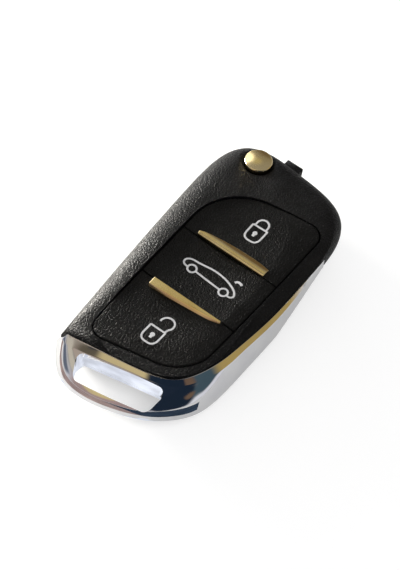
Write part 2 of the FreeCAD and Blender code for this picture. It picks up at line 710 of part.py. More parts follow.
# Blade blank with a milled track on both faces
tip_y = hub_y - blade_reach
edge_left = hub_x - blade_outer
edge_right = hub_x + blade_inner
shoulder_y = hub_y - neck_reach
tip_slope = 2.6
blade_low = blade_z - blade_thick / 2
blade_outline = [Vec(x, y, blade_low) for x, y in (
    (edge_left, shoulder_y), (edge_left, tip_y + tip_slope), (edge_left + tip_slope, tip_y),
    (edge_right - tip_slope / 2, tip_y), (edge_right, tip_y + tip_slope / 2), (edge_right, shoulder_y),
    (edge_left, shoulder_y))]
key_blade = Part.Face(Part.makePolygon(blade_outline)).extrude(Vec(0, 0, blade_thick))
key_blade = key_blade.fuse(root_slot)
groove_x = (edge_left + edge_right) / 2
for z0 in (blade_low, blade_low + blade_thick - groove_depth):
    track = box(groove_x - groove_width / 2, tip_y - 1, z0, groove_x + groove_width / 2, shoulder_y - 3,
                z0 + groove_depth)
    key_blade = key_blade.cut(track)
key_blade = key_blade.cut(cylinder(pin_x, pin_y, 0, face_z, pin_radius))
save("key_blade", key_blade)
save("blade_roll_pin", cylinder(pin_x, pin_y, blade_z - neck_half, blade_z + neck_half, pin_radius))

# Release button, spring and rear cap
flange_top = hub_top_z - lip_thick
flange_bottom = flange_top - button_flange_height
dome = 0.5
release_button = cylinder(hub_x, hub_y, flange_bottom, flange_top, button_flange)
dome_z = button_top_z - dome
release_button = release_button.fuse(cylinder(hub_x, hub_y, flange_bottom, dome_z, button_radius))
release_button = release_button.fuse(Part.makeCone(button_radius, button_radius - dome, dome,
                                                   Vec(hub_x, hub_y, dome_z), up))
save("release_button", release_button)
cap_top = hub_bottom_z + 0.4
pivot_cap = cylinder(hub_x, hub_y, 0, cap_flange_height, cap_flange)
pivot_cap = pivot_cap.fuse(cylinder(hub_x, hub_y, 0, cap_top, cap_radius))
save("pivot_cap", pivot_cap)
spring_low = cap_top + spring_wire / 2
spring_high = flange_bottom - spring_wire / 2
spring = coil(spring_radius, spring_wire, spring_sides, spring_turns, spring_low, spring_high)
spring.translate(Vec(hub_x, hub_y, 0))
save("flip_spring", spring)

# Board, cell and small parts
board = prism(section(parting_z, wall + 0.4 + board_play), board_z, board_z + board_thick)
board_side = box(rib_x + board_play, foot_y + 5.5 + board_play, 0,
                 frame_right, hub_y - 6.0 - board_play, face_z)
save("circuit_board", board.common(board_side))
switch_mid = {"unlock": (key_foot + division_y(0)) / 2, "trunk": division_mid_y,
              "lock": (key_top + division_y(1)) / 2}
for name, y in switch_mid.items():
    width, depth, height = switch_size
    body = box(switch_x - width / 2, y - depth / 2, board_top, switch_x + width / 2, y + depth / 2,
               board_top + height)
    plunger = cylinder(switch_x, y, board_top + height, membrane_z, plunger_radius)
    save(name + "_switch", body.fuse(plunger))
chip = box(chip_x - chip_size[0] / 2, chip_y - chip_size[1] / 2, board_top, chip_x + chip_size[0] / 2,
           chip_y + chip_size[1] / 2, board_top + chip_size[2])
save("controller_chip", chip)
save("transponder_chip", box(transponder_x - transponder_size[0] / 2, transponder_y - transponder_size[1] / 2,
                             floor, transponder_x + transponder_size[0] / 2,
                             transponder_y + transponder_size[1] / 2, floor + transponder_size[2]))
cell_edge = 0.3
cell = cylinder(cell_x, cell_y, cell_z, cell_z + cell_thick, cell_radius)
rims = [edge for edge in cell.Edges if edge.BoundBox.ZLength < 1e-6 and edge.BoundBox.XLength > 1]
cell = cell.makeChamfer(cell_edge, rims)
save("coin_cell", cell)
cell_top = cell_z + cell_thick
clip_reach = 4.0        # the clip reaches this far past the cell's middle
leg_y = cell_y + cell_radius + cell_play + 0.2
positive = box(cell_x - contact_half, cell_y - clip_reach, cell_top,
               cell_x + contact_half, leg_y + contact_thick, cell_top + contact_thick)
positive = positive.fuse(box(cell_x - contact_half, leg_y, cell_top,
                             cell_x + contact_half, leg_y + contact_thick, board_z))
save("positive_contact", positive)


def leaf_point(y, z):
    return Vec(cell_x - contact_half, cell_y + y, z)


inner_half = leaf_half - leaf_foot
leaf_edges = [
    Part.Arc(leaf_point(-leaf_half, floor), leaf_point(0, cell_z), leaf_point(leaf_half, floor)).toShape(),
    Part.makeLine(leaf_point(leaf_half, floor), leaf_point(inner_half, floor)),
    Part.Arc(leaf_point(inner_half, floor), leaf_point(0, cell_z - contact_thick),
             leaf_point(-inner_half, floor)).toShape(),
    Part.makeLine(leaf_point(-inner_half, floor), leaf_point(-leaf_half, floor)),
]
save("negative_contact", Part.Face(Part.Wire(leaf_edges)).extrude(Vec(2 * contact_half, 0, 0)))
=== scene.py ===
# Flip key fob shell: finishes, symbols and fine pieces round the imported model, in metres.
import bmesh
import bpy
import numpy as np
from mathutils import Matrix, Vector


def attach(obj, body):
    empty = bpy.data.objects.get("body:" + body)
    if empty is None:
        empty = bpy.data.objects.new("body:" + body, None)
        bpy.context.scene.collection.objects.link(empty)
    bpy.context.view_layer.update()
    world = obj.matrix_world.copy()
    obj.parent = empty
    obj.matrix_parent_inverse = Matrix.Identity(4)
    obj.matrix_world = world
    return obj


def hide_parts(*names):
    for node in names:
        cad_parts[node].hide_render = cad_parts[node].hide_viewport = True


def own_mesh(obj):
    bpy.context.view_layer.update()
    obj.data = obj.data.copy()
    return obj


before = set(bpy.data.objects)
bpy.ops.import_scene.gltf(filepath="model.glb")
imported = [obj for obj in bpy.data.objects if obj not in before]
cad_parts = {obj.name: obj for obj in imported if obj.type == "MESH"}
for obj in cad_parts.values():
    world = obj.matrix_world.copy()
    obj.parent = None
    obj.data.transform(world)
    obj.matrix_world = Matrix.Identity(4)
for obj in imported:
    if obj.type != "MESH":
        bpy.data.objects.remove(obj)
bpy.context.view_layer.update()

mm = 0.001
scene = bpy.context.scene


def addObject(name, data):
    obj = bpy.data.objects.new(name, data)
    scene.collection.objects.link(obj)
    return obj


# camera: where the photograph was taken from, in millimetres
cameraView = {
    "place": (84.29, -153.99, 262.37),
    "right": (0.79549, 0.59883, 0.09274),
    "down": (0.53858, -0.62857, -0.5611),
    "ahead": (-0.27771, 0.4963, -0.82254),
    "lens": 88.42, "sensor": 36,
    "clip": (0.01, 20),     # in metres
}


def placeCamera(view):
    cam = bpy.data.cameras.new("fobCamera")
    cam.lens = view["lens"]
    cam.sensor_width = view["sensor"]
    cam.sensor_fit = "AUTO"
    cam.clip_start, cam.clip_end = view["clip"]
    obj = addObject("fobCamera", cam)
    up, back = (tuple(-c for c in view[key]) for key in ("down", "ahead"))
    axes = Matrix((view["right"], up, back)).transposed()
    obj.matrix_world = Matrix.Translation(Vector(view["place"]) * mm) @ axes.to_4x4()
    scene.camera = obj
    print("camera placed")


placeCamera(cameraView)


# short ways to build materials
socketNames = {"rough": "Roughness", "metal": "Metallic", "gloss": "Specular IOR Level"}


def startMaterial(name, **sockets):
    mat = bpy.data.materials.new(name)
    mat.use_nodes = True
    tree = mat.node_tree
    shader = tree.nodes["Principled BSDF"]
    for key, value in sockets.items():
        shader.inputs[socketNames[key]].default_value = value
    return mat, tree, shader


def feed(tree, socket, value):
    # a link from another socket, or a plain value
    if isinstance(value, bpy.types.NodeSocket):
        tree.links.new(value, socket)
    elif value is not None:
        socket.default_value = value


def feedAll(tree, node, **values):
    # each keyword is a socket's name without spaces; where sockets share a name, it is the first one's
    sockets = {socket.name.replace(" ", ""): socket for socket in reversed(node.inputs)}
    for key, value in values.items():
        feed(tree, sockets[key], value)


def mapped(tree, vector, stretch, turn=(0, 0, 0)):
    mapping = tree.nodes.new("ShaderNodeMapping")
    feedAll(tree, mapping, Vector=vector, Rotation=turn, Scale=stretch)
    return mapping.outputs["Vector"]


def objectPlace(tree, turn=(0, 0, 0)):
    # object coordinates in millimetres
    coords = tree.nodes.new("ShaderNodeTexCoord")
    return mapped(tree, coords.outputs["Object"], (1 / mm,) * 3, turn)


def noiseAt(tree, vector, scale, detail=2.0, rough=0.5, output="Fac"):
    noise = tree.nodes.new("ShaderNodeTexNoise")
    feedAll(tree, noise, Vector=vector, Scale=scale, Detail=detail, Roughness=rough)
    return noise.outputs[output]


def cellsAt(tree, vector, scale, feature="F1"):
    cells = tree.nodes.new("ShaderNodeTexVoronoi")
    cells.feature = feature
    feedAll(tree, cells, Vector=vector, Scale=scale)
    return cells.outputs["Distance"]


def ramp(tree, value, low, high, toLow=0.0, toHigh=1.0, smooth=False):
    node = tree.nodes.new("ShaderNodeMapRange")
    node.interpolation_type = "SMOOTHSTEP" if smooth else "LINEAR"
    feedAll(tree, node, Value=value, FromMin=low, FromMax=high, ToMin=toLow, ToMax=toHigh)
    return node.outputs["Result"]


def mathOn(tree, kind, a, b):
    node = tree.nodes.new("ShaderNodeMath")
    node.operation = kind
    feed(tree, node.inputs[0], a)
    feed(tree, node.inputs[1], b)
    return node.outputs[0]


def times(tree, a, b):
    return mathOn(tree, "MULTIPLY", a, b)


def vectorOn(tree, kind, *values):
    node = tree.nodes.new("ShaderNodeVectorMath")
    node.operation = kind
    for socket, value in zip(node.inputs, values):
        feed(tree, socket, value)
    return node.outputs["Value" if kind == "DOT_PRODUCT" else "Vector"]


def mixed(tree, share, first, second):
    node = tree.nodes.new("ShaderNodeMix")
    node.data_type = "RGBA"
    feed(tree, node.inputs[0], share)
    for key, colour in (("A", first), ("B", second)):
        socket = [s for s in node.inputs if s.name == key and s.type == "RGBA"][0]
        feed(tree, socket, colour if isinstance(colour, bpy.types.NodeSocket) else (*colour, 1))
    return [s for s in node.outputs if s.type == "RGBA"][0]


def bumpUp(tree, height, distance, below=None):
    bump = tree.nodes.new("ShaderNodeBump")
    feedAll(tree, bump, Strength=1.0, Distance=distance * mm, Height=height, Normal=below)
    return bump.outputs["Normal"]


# shared effects, each one node group that takes a place and numbers and gives numbers
noiseSpan, patchSpan = (0.3, 0.7), (0.35, 0.65)     # most of a noise's values, and its middle ones
grainForm = {"rounded": 0.28, "fine": 3.1, "fineShare": 0.45, "slow": 0.12}
markForm = {
    "smear": 0.14, "smearSpan": (0.42, 0.68), "speck": 0.55, "speckSpan": (0.045, 0.03),
    "scratches": ((0.5, (0.12, 5.0, 0.4)), (-0.9, (0.16, 6.5, 0.4))), "scratchSpan": (0.66, 0.72),
}
lineForm = {"stretch": (0.25, 9.0, 9.0), "slow": 0.18}


def startGroup(name, numbers, results):
    group = bpy.data.node_groups.new(name, "ShaderNodeTree")
    group.interface.new_socket("Place", in_out="INPUT", socket_type="NodeSocketVector")
    for label, value in numbers.items():
        socket = group.interface.new_socket(label, in_out="INPUT", socket_type="NodeSocketFloat")
        socket.default_value = value
    for label in results:
        group.interface.new_socket(label, in_out="OUTPUT", socket_type="NodeSocketFloat")
    return group, group.nodes.new("NodeGroupInput").outputs, group.nodes.new("NodeGroupOutput")


def placeGroup(tree, group, **values):
    node = tree.nodes.new("ShaderNodeGroup")
    node.node_tree = group
    feedAll(tree, node, **values)
    return node.outputs


def makeMouldedGrain(form):
    # pebbled leather-like grain: warped cells, each raised in its middle, with fine noise, and slow patches
    # for the tone
    group, given, result = startGroup("mouldedGrain", {"Pitch": 0.5, "Warp": 0.4},
                                      ("Height", "Hollows", "Patches"))
    place = given["Place"]
    perCell = mathOn(group, "DIVIDE", 1.0, given["Pitch"])
    bend = noiseAt(group, place, perCell, output="Color")
    warped = vectorOn(group, "MULTIPLY_ADD", bend, given["Warp"], place)
    edge = cellsAt(group, warped, perCell, "DISTANCE_TO_EDGE")
    pebble = ramp(group, edge, 0.0, form["rounded"], smooth=True)
    fine = noiseAt(group, place, times(group, perCell, form["fine"]), 2)
    slow = noiseAt(group, place, times(group, perCell, form["slow"]), 3)
    # Hollows masks the grain's recesses: for roughness, and for painted shade in the plastics' colour
    feedAll(group, result, Height=mathOn(group, "ADD", pebble, times(group, fine, form["fineShare"])),
            Hollows=mathOn(group, "SUBTRACT", 1.0, pebble), Patches=ramp(group, slow, *patchSpan))
    return group


def makeHandling(form):
    # marks of use: soft smears, fine scratches in two directions and specks of dust
    group, given, result = startGroup("handlingMarks", {"Amount": 0.5}, ("Smears", "Scratches", "Dust"))
    place, amount = given["Place"], given["Amount"]
    smears = ramp(group, noiseAt(group, place, form["smear"], 4, 0.6), *form["smearSpan"], smooth=True)
    lines = []
    for turn, stretch in form["scratches"]:
        drawn = mapped(group, place, stretch, (0, 0, turn))
        lines.append(ramp(group, noiseAt(group, drawn, 1.0, 3, 0.7), *form["scratchSpan"]))
    scratches = mathOn(group, "MAXIMUM", *lines)
    specks = ramp(group, cellsAt(group, place, form["speck"]), *form["speckSpan"])
    feedAll(group, result, Smears=times(group, smears, amount), Scratches=times(group, scratches, amount),
            Dust=times(group, specks, amount))
    return group


def makeDrawnLines(form):
    # fine lines along the first axis of the place that is given, and a slow change of tone
    group, given, result = startGroup("drawnLines", {"Fineness": 1.0}, ("Height", "Tone"))
    drawn = mapped(group, given["Place"], form["stretch"])
    slow = noiseAt(group, given["Place"], form["slow"], 3)
    feedAll(group, result, Height=noiseAt(group, drawn, given["Fineness"], 4, 0.65),
            Tone=ramp(group, slow, *patchSpan))
    return group


mouldedGrain = makeMouldedGrain(grainForm)
handlingMarks = makeHandling(markForm)
drawnLines = makeDrawnLines(lineForm)
print("shared effects built")


def grainedPlastic(name, look):
    mat, tree, shader = startMaterial(name, gloss=look["gloss"])
    place = objectPlace(tree)
    grain = placeGroup(tree, mouldedGrain, Place=place, Pitch=look["pitch"], Warp=look["warp"])
    marks = placeGroup(tree, handlingMarks, Place=place, Amount=look["use"])
    tone = mixed(tree, grain["Patches"], look["dark"], look["pale"])
    # painted shade: the grain's hollows darkened towards the hollow colour
    tone = mixed(tree, times(tree, grain["Hollows"], look["hollowShare"]), tone, look["hollow"])
    tone = mixed(tree, times(tree, marks["Dust"], look["dustShare"]), tone, look["dust"])
    rough = ramp(tree, grain["Hollows"], 0, 1, look["rough"], look["rough"] + look["hollowRough"])
    rough = mathOn(tree, "SUBTRACT", rough, times(tree, marks["Smears"], look["smearShine"]))
    feedAll(tree, shader, BaseColor=tone, Roughness=rough,
            Normal=bumpUp(tree, grain["Height"], look["depth"]))
    return mat


def platedMetal(name, look):
    # plated metal: slow tint, orange-peel bump, drawn lines and marks of use
    mat, tree, shader = startMaterial(name, metal=1.0)
    place = objectPlace(tree, look["turn"])
    lines = placeGroup(tree, drawnLines, Place=place, Fineness=look["fineness"])
    marks = placeGroup(tree, handlingMarks, Place=place, Amount=look["use"])
    tone = mixed(tree, lines["Tone"], look["dark"], look["pale"])
    tone = mixed(tree, times(tree, marks["Scratches"], look["scratchShare"]), tone, look["scratch"])
    rough = ramp(tree, marks["Smears"], 0, 1, look["rough"], look["rough"] + look["smear"])
    rough = mathOn(tree, "ADD", rough, times(tree, marks["Scratches"], look["scratchRough"]))
    peel = bumpUp(tree, noiseAt(tree, place, look["peel"], 2), look["peelDepth"])
    feedAll(tree, shader, BaseColor=tone, Roughness=rough,
            Normal=bumpUp(tree, lines["Height"], look["lineDepth"], peel))
    return mat


def plainPart(name, colour, rough, metal=0.0, depth=0.006, vary=0.3):
    # small inner parts: speckled colour, uneven gloss and a fine bump
    look = innerLook
    mat, tree, shader = startMaterial(name, metal=metal)
    place = objectPlace(tree)
    marks = placeGroup(tree, handlingMarks, Place=place, Amount=look["use"])
    fine = noiseAt(tree, place, look["perPitch"] / look["pitch"], 3)
    tone = mixed(tree, noiseAt(tree, place, look["slow"], 4), tuple(c * (1 - vary) for c in colour), colour)
    tone = mixed(tree, times(tree, marks["Dust"], look["dustShare"]), tone, look["dust"])
    uneven = ramp(tree, fine, *noiseSpan, rough * look["roughFrom"], rough * look["roughTo"])
    rougher = mathOn(tree, "ADD", uneven, times(tree, marks["Smears"], look["smear"]))
    feedAll(tree, shader, BaseColor=tone, Roughness=rougher, Normal=bumpUp(tree, fine, depth))
    return mat


# finishes: lengths in millimetres, noise scales per millimetre
caseLook = {
    "dark": (0.0035, 0.0038, 0.0045), "pale": (0.007, 0.007, 0.0075), "rough": 0.40, "gloss": 0.17,
    "pitch": 0.66, "warp": 0.3, "depth": 0.075,
    # hollow and its share: painted shade colour laid into the grain's hollows
    "hollow": (0.002, 0.002, 0.002), "hollowShare": 0.6, "hollowRough": 0.18,
    "dust": (0.28, 0.27, 0.25), "dustShare": 0.5, "smearShine": 0.12, "use": 0.5,
}
keyLook = {
    **caseLook, "dark": (0.003, 0.003, 0.0032), "pale": (0.006, 0.006, 0.006),
    # hollow: painted shade colour for the keys' grain hollows
    "hollow": (0.0015, 0.0015, 0.0015), "rough": 0.38, "gloss": 0.14, "use": 0.6,
}
chromeLook = {
    "dark": (0.86, 0.86, 0.89), "pale": (0.93, 0.93, 0.94), "rough": 0.045, "smear": 0.05, "use": 0.5,
    "scratch": (0.97, 0.97, 0.97), "scratchShare": 0.25, "scratchRough": 0.08,
    "fineness": 1.0, "lineDepth": 0.0004, "turn": (0, 0, 0), "peel": 0.35, "peelDepth": 0.004,
}
goldLook = {
    **chromeLook, "dark": (0.84, 0.68, 0.36), "pale": (0.95, 0.81, 0.50), "scratch": (0.94, 0.88, 0.7),
    "rough": 0.17, "smear": 0.06, "fineness": 1.4, "lineDepth": 0.0003, "peel": 0.6,
}
bladeLook = {
    **chromeLook, "dark": (0.55, 0.55, 0.55), "pale": (0.68, 0.68, 0.66), "scratch": (0.85, 0.85, 0.84),
    "rough": 0.24, "smear": 0.14, "lineDepth": 0.003, "turn": (0, 0, 1.5708), "peel": 0.5,
    "peelDepth": 0.003, "use": 0.8,
}
innerLook = {
    "slow": 0.3, "pitch": 0.6, "perPitch": 2.5, "roughFrom": 0.85, "roughTo": 1.1, "smear": 0.12,
    "dust": (0.4, 0.39, 0.36), "dustShare": 0.35, "use": 0.6,
}
finishes = {
    "case_plastic": grainedPlastic("grainedCase", caseLook),
    "key_plastic": grainedPlastic("grainedKeys", keyLook),
    "cap_plastic": plainPart("capPlastic", (0.008, 0.008, 0.009), 0.4),
    "bright_chrome": platedMetal("frameChrome", chromeLook),
    "gold_metal": platedMetal("champagneMetal", goldLook),
    "mat_rubber": plainPart("matRubber", (0.03, 0.03, 0.032), 0.75),
    "board_green": plainPart("boardGreen", (0.02, 0.12, 0.05), 0.35, vary=0.2),
    "switch_steel": plainPart("switchSteel", (0.6, 0.6, 0.6), 0.3, metal=1.0),
    "chip_black": plainPart("chipBlack", (0.015, 0.015, 0.015), 0.5),
    "cell_steel": plainPart("cellSteel", (0.66, 0.66, 0.68), 0.24, metal=1.0, depth=0.002),
    "contact_brass": plainPart("contactBrass", (0.72, 0.52, 0.22), 0.3, metal=1.0),
    "hub_metal": plainPart("hubMetal", (0.32, 0.32, 0.34), 0.38, metal=1.0),
    "blade_steel": platedMetal("bladeSteel", bladeLook),
    "pin_steel": plainPart("pinSteel", (0.6, 0.6, 0.6), 0.3, metal=1.0),
    "spring_steel": plainPart("springSteel", (0.42, 0.42, 0.45), 0.3, metal=1.0),
}
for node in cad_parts.values():
    node.data.materials[0] = finishes[node.data.materials[0].name.split(".")[0]]
print("finishes placed on the packed nodes")


# curves and directions; shapes are worked out in millimetres
def unit(vectors):
    return vectors / np.maximum(np.linalg.norm(vectors, axis=-1, keepdims=True), 1e-9)


def curveThrough(points, stations, at):
    # natural cubic through the points: second slopes solve one row a point, and every span is a cubic
    points, stations, at = (np.asarray(a, float) for a in (points, stations, at))
    step = np.diff(stations)
    count = len(stations)
    rows = np.eye(count)
    inner = np.arange(1, count - 1)
    rows[inner, inner - 1] = step[:-1]
    rows[inner, inner] = 2 * (step[:-1] + step[1:])
    rows[inner, inner + 1] = step[1:]
    slope = np.diff(points, axis=0) / step[:, None]
    right = np.zeros_like(points)
    right[1:-1] = 6 * (slope[1:] - slope[:-1])
    bend = np.linalg.solve(rows, right)
    i = np.clip(np.searchsorted(stations, at) - 1, 0, count - 2)
    wide = step[i][:, None]
    a = (stations[i + 1] - at)[:, None] / wide
    b = 1 - a
    cubic = (a ** 3 - a) * bend[i] + (b ** 3 - b) * bend[i + 1]
    return a * points[i] + b * points[i + 1] + cubic * wide ** 2 / 6


def alongOf(points):
    # distance along a run of points, from 0 to 1
    steps = np.linalg.norm(np.diff(np.asarray(points, float), axis=0), axis=1)
    total = np.concatenate([[0], np.cumsum(steps)])
    return total / total[-1]


def curveOver(points, x):
    # second value of a smooth curve through the points, as a column over the first
    points = np.array(points, float)
    return curveThrough(points[:, 1:], points[:, 0], x)


def circleFall(run, radius):
    # how far a circle that starts level has fallen after a run
    return radius - np.sqrt(radius ** 2 - np.maximum(run, 0) ** 2)


def onCircle(points, at):
    # second value, at a first value, on the circle through three points and on their side of its centre
    (ax, ay), (bx, by), (cx, cy) = points
    rows = np.array([[bx - ax, by - ay], [cx - ax, cy - ay]], float) * 2
    right = np.array([bx ** 2 - ax ** 2 + by ** 2 - ay ** 2, cx ** 2 - ax ** 2 + cy ** 2 - ay ** 2])
    centre = np.linalg.solve(rows, right)
    radius = np.hypot(*(centre - (ax, ay)))
    side = np.sign(by - centre[1])
    return centre[1] + side * np.sqrt(np.maximum(radius ** 2 - (at - centre[0]) ** 2, 0))


def arcPoints(centre, radius, angles):
    return np.column_stack([centre[0] + radius * np.cos(angles), centre[1] + radius * np.sin(angles)])


def outwardOf(loop):
    # unit directions square to a closed loop that runs anticlockwise
    along = unit(np.roll(loop, -1, 0) - np.roll(loop, 1, 0))
    return np.stack([along[:, 1], -along[:, 0]], 1)


# pieces from a grid of points
weld = {"join": 2e-7, "shortest": 1e-7}     # in metres


def surfacePiece(name, grid, body, slotName, loopU=False, loopV=False, **dress):
    # rows run along u, columns along v; a direction that loops joins its end to its start
    index = np.arange(grid.shape[0] * grid.shape[1]).reshape(grid.shape[:2])
    first = index if loopU else index[:-1]
    second = np.roll(index, -1, 0) if loopU else index[1:]
    corners = [first, second, np.roll(second, -1, 1), np.roll(first, -1, 1)]
    quads = np.stack([c if loopV else c[:, :-1] for c in corners], -1).reshape(-1, 4)
    mesh = bpy.data.meshes.new(name)
    mesh.from_pydata(grid.reshape(-1, 3) * mm, [], quads)
    return dressMesh(name, mesh, body, slotName, **dress)


def dressMesh(name, mesh, body, slotName, stands=(), sharp=40, shell=True, finish=None):
    # repeated points become one, a shell's faces turn outwards, and edges past an angle in degrees are sharp
    work = bmesh.new()
    work.from_mesh(mesh)
    bmesh.ops.remove_doubles(work, verts=work.verts, dist=weld["join"])
    bmesh.ops.dissolve_degenerate(work, edges=work.edges, dist=weld["shortest"])
    if shell:
        bmesh.ops.recalc_face_normals(work, faces=work.faces)
    work.to_mesh(mesh)
    work.free()
    mesh.polygons.foreach_set("use_smooth", np.ones(len(mesh.polygons), bool))
    mesh.set_sharp_from_angle(angle=np.radians(sharp))
    mesh.materials.clear()
    mesh.materials.append(finish or finishes[slotName])
    obj = addObject(name, mesh)
    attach(obj, body)
    if stands:
        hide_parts(*stands)
    return obj


def capped(grid):
    # one more ring at either end, shrunk to its middle
    middles = np.repeat(grid[[0, -1]].mean(1, keepdims=True), grid.shape[1], 1)
    return np.concatenate([middles[:1], grid, middles[1:]])


# heights of the button face
faceForm = {
    "level": 15.0,
    "rightFrom": 7.5, "rightRadius": 58.0,      # the face falls towards the right wall
    "footFrom": -19.0, "footRadius": 75.0,      # and towards the foot
    "dishAt": (-2.5, 0.5), "dishHalf": (13.8, 27.5), "dishDepth": 0.85,
}


def crownHeight(x, y, form=faceForm):
    # the lower of two falls, each a circle that starts level
    fallRight = circleFall(x - form["rightFrom"], form["rightRadius"])
    fallFoot = circleFall(form["footFrom"] - y, form["footRadius"])
    return form["level"] - np.maximum(fallRight, fallFoot)


def padHeight(x, y, form=faceForm):
    # the crown, hollowed by a bowl whose depth falls with the square of the distance from its middle
    across = (x - form["dishAt"][0]) / form["dishHalf"][0]
    along = (y - form["dishAt"][1]) / form["dishHalf"][1]
    bowl = form["level"] - form["dishDepth"] * (1 - across ** 2 - along ** 2)
    return np.minimum(crownHeight(x, y, form), bowl)


# buttons
pad = {
    "corners": ((-10.6, -29.2), (12.6, -24.4), (13.7, 24.9), (-11.6, 20.8)),
    "bows": (0.0, 0.3, 0.55, 0.35),
    "radii": (3.0, 9.5, 3.2, 13.5),
    "divisions": (-9.43, 5.77), "gap": 0.22,
    "bottom": 12.2,
    "edge": 0.28, "edgeTurns": (90, 67, 45, 22, 0),     # rounding of the top edges
    "middleX": 1.5, "rings": 34, "points": 420,         # rings shrink to this x
}


def padOutline(form, count=41):
    # four bowed sides, each on its own circle, joined by arcs of the given radii that touch both sides
    corners = np.array(form["corners"], float)
    sides = np.roll(corners, -1, 0) - corners
    chords = np.linalg.norm(sides, axis=1)
    outward = np.stack([sides[:, 1], -sides[:, 0]], 1) / chords[:, None]
    bows = np.maximum(np.array(form["bows"], float), 1e-4)
    bends = (chords ** 2 / 4 + bows ** 2) / (2 * bows)
    centres = corners + sides / 2 - outward * (bends - bows)[:, None]
    middles = []
    for i, radius in enumerate(form["radii"]):
        # middle of the corner's arc: where both sides' circles, shrunk by its radius, cross
        first, second = centres[i - 1], centres[i]
        apart = np.linalg.norm(second - first)
        a, b = bends[i - 1] - radius, bends[i] - radius
        along = (second - first) / apart
        far = (a ** 2 - b ** 2 + apart ** 2) / (2 * apart)
        across = np.array((-along[1], along[0])) * np.sqrt(max(a ** 2 - far ** 2, 0))
        middles.append(min((first + along * far + across, first + along * far - across),
                           key=lambda p: np.linalg.norm(p - corners[i])))

    def arcBetween(centre, radius, start, end):
        turn = np.unwrap([np.arctan2(start[1], start[0]), np.arctan2(end[1], end[0])])
        return arcPoints(centre, radius, np.linspace(*turn, count))[:-1]

    loop = []
    for i, radius in enumerate(form["radii"]):
        start, end = middles[i] - centres[i - 1], middles[i] - centres[i]
        ahead = middles[(i + 1) % len(middles)] - centres[i]
        loop += [arcBetween(middles[i], radius, start, end), arcBetween(centres[i], bends[i], end, ahead)]
    return np.concatenate(loop)


def seenFrom(loop, centre, turns):
    # distance from a centre to a star-shaped loop, in each direction
    rel = loop - centre
    angle = np.arctan2(rel[:, 1], rel[:, 0])
    order = np.argsort(angle)
    angle, far = angle[order], np.linalg.norm(rel, axis=1)[order]
    angle = np.concatenate([angle[-3:] - 2 * np.pi, angle, angle[:3] + 2 * np.pi])
    far = np.concatenate([far[-3:], far, far[:3]])
    return np.interp(turns, angle, far)


def buttonSurface(low, high, middle, form=pad):
    # rings round the button: up its wall, over its rounded edge, then shrinking to its middle on the pad
    centre = np.array((form["middleX"], middle))
    turns = np.linspace(-np.pi, np.pi, form["points"], endpoint=False)
    sine, tiny = np.sin(turns), 1e-6
    ray = np.stack([np.cos(turns), sine], 1)
    # a ray ends where it meets the pad's outline or a division
    room = np.where(sine > tiny, (high - middle) / np.maximum(sine, tiny), np.inf)
    room = np.where(sine < -tiny, (low - middle) / np.minimum(sine, -tiny), room)
    far = np.minimum(seenFrom(padOutline(form), centre, turns), room)

    def ringAt(reach, level=None, drop=0.0):
        place = centre + ray * reach[:, None]
        height = padHeight(*place.T) - drop if level is None else np.full(len(place), level)
        return np.column_stack([place, height])

    edge = form["edge"]
    rings = [ringAt(0 * far, form["bottom"]), ringAt(far, form["bottom"])]
    for bend in np.radians(form["edgeTurns"]):
        rings.append(ringAt(far - edge * (1 - np.sin(bend)), drop=edge * (1 - np.cos(bend))))
    for share in np.linspace(1, 0, form["rings"])[1:]:
        rings.append(ringAt((far - edge) * share))
    return np.stack(rings)


beyondPad, halfGap = 40.0, pad["gap"] / 2       # the outer buttons end at the pad's outline
lowCut, highCut = pad["divisions"]
# lowest and highest y, the y that the rings shrink to, body and solid
buttons = {
    "unlockKey": (-beyondPad, lowCut - halfGap, -18.5, "unlock_key", "unlock_button"),
    "trunkKey": (lowCut + halfGap, highCut - halfGap, (lowCut + highCut) / 2, "trunk_key", "trunk_button"),
    "lockKey": (highCut + halfGap, beyondPad, 15.0, "lock_key", "lock_button"),
}
for name, (low, high, middle, body, node) in buttons.items():
    surfacePiece(name, buttonSurface(low, high, middle), body, "key_plastic", loopV=True, sharp=60,
                 stands=(node,))
print("buttons made")


# symbols: raised strokes that lie on the pad
symbolInk = {
    "width": 0.46, "rise": 0.03, "step": 0.1,
    # section of a stroke in shares of the half width and of the rise
    "across": (-1.0, -0.94, -0.6, 0.0, 0.6, 0.94, 1.0), "height": (-1, 0.55, 0.92, 1, 0.92, 0.55, -1),
}
paintLook = {
    "dark": (0.42, 0.42, 0.43), "pale": (0.58, 0.58, 0.59), "smear": (0.3, 0.3, 0.3), "smearShare": 0.3,
    "gloss": 0.3, "rough": (0.5, 0.68), "slow": 1.4, "fine": 4.0, "depth": 0.006, "use": 0.8,
}
# shackles from the lock's middle: feet, then middle, radius and angles of the bow
closedLock = {
    "middle": (1.66, 16.6), "wide": 3.8, "tall": 4.35, "hole": (-0.1, -1.9),
    "feet": ((-1.42, 0), (1.42, 0)), "bowAt": (0, 0.95), "bowRadius": 1.42, "bowTurn": (180, 0),
}
openLock = {
    "middle": (0.6, -19.1), "wide": 3.8, "tall": 4.3, "hole": (0, -1.95),
    "feet": ((1.65, 0),), "bowAt": (0.75, 2.15), "bowRadius": 1.62, "bowTurn": (-45, 190),
}
keyholeForm = {
    "radius": 0.56, "footReach": 1.02, "footHalf": 0.42,
    "rings": ((1.0, -0.03), (0.97, 0.02), (0.8, 0.03), (0.4, 0.03), (0.0, 0.03)),    # share, rise
}
carShape = {
    "roof": ((-4.45, -2.05), (-5.3, -2.0), (-5.95, -1.5), (-5.9, -0.65), (-5.0, 0.05), (-3.2, 0.3),
             (0.0, 0.75), (3.1, 0.6), (6.1, -0.35), (7.7, -1.6), (7.95, -2.4), (7.4, -2.95), (6.55, -2.85)),
    "wheels": ((-3.44, -1.9), (5.54, -2.68)), "wheel": 1.02,
    "tailgate": ((5.95, 1.0), (6.35, 1.42), (7.0, 1.5), (7.7, 1.22)), "tailgateWidth": 0.62,
}


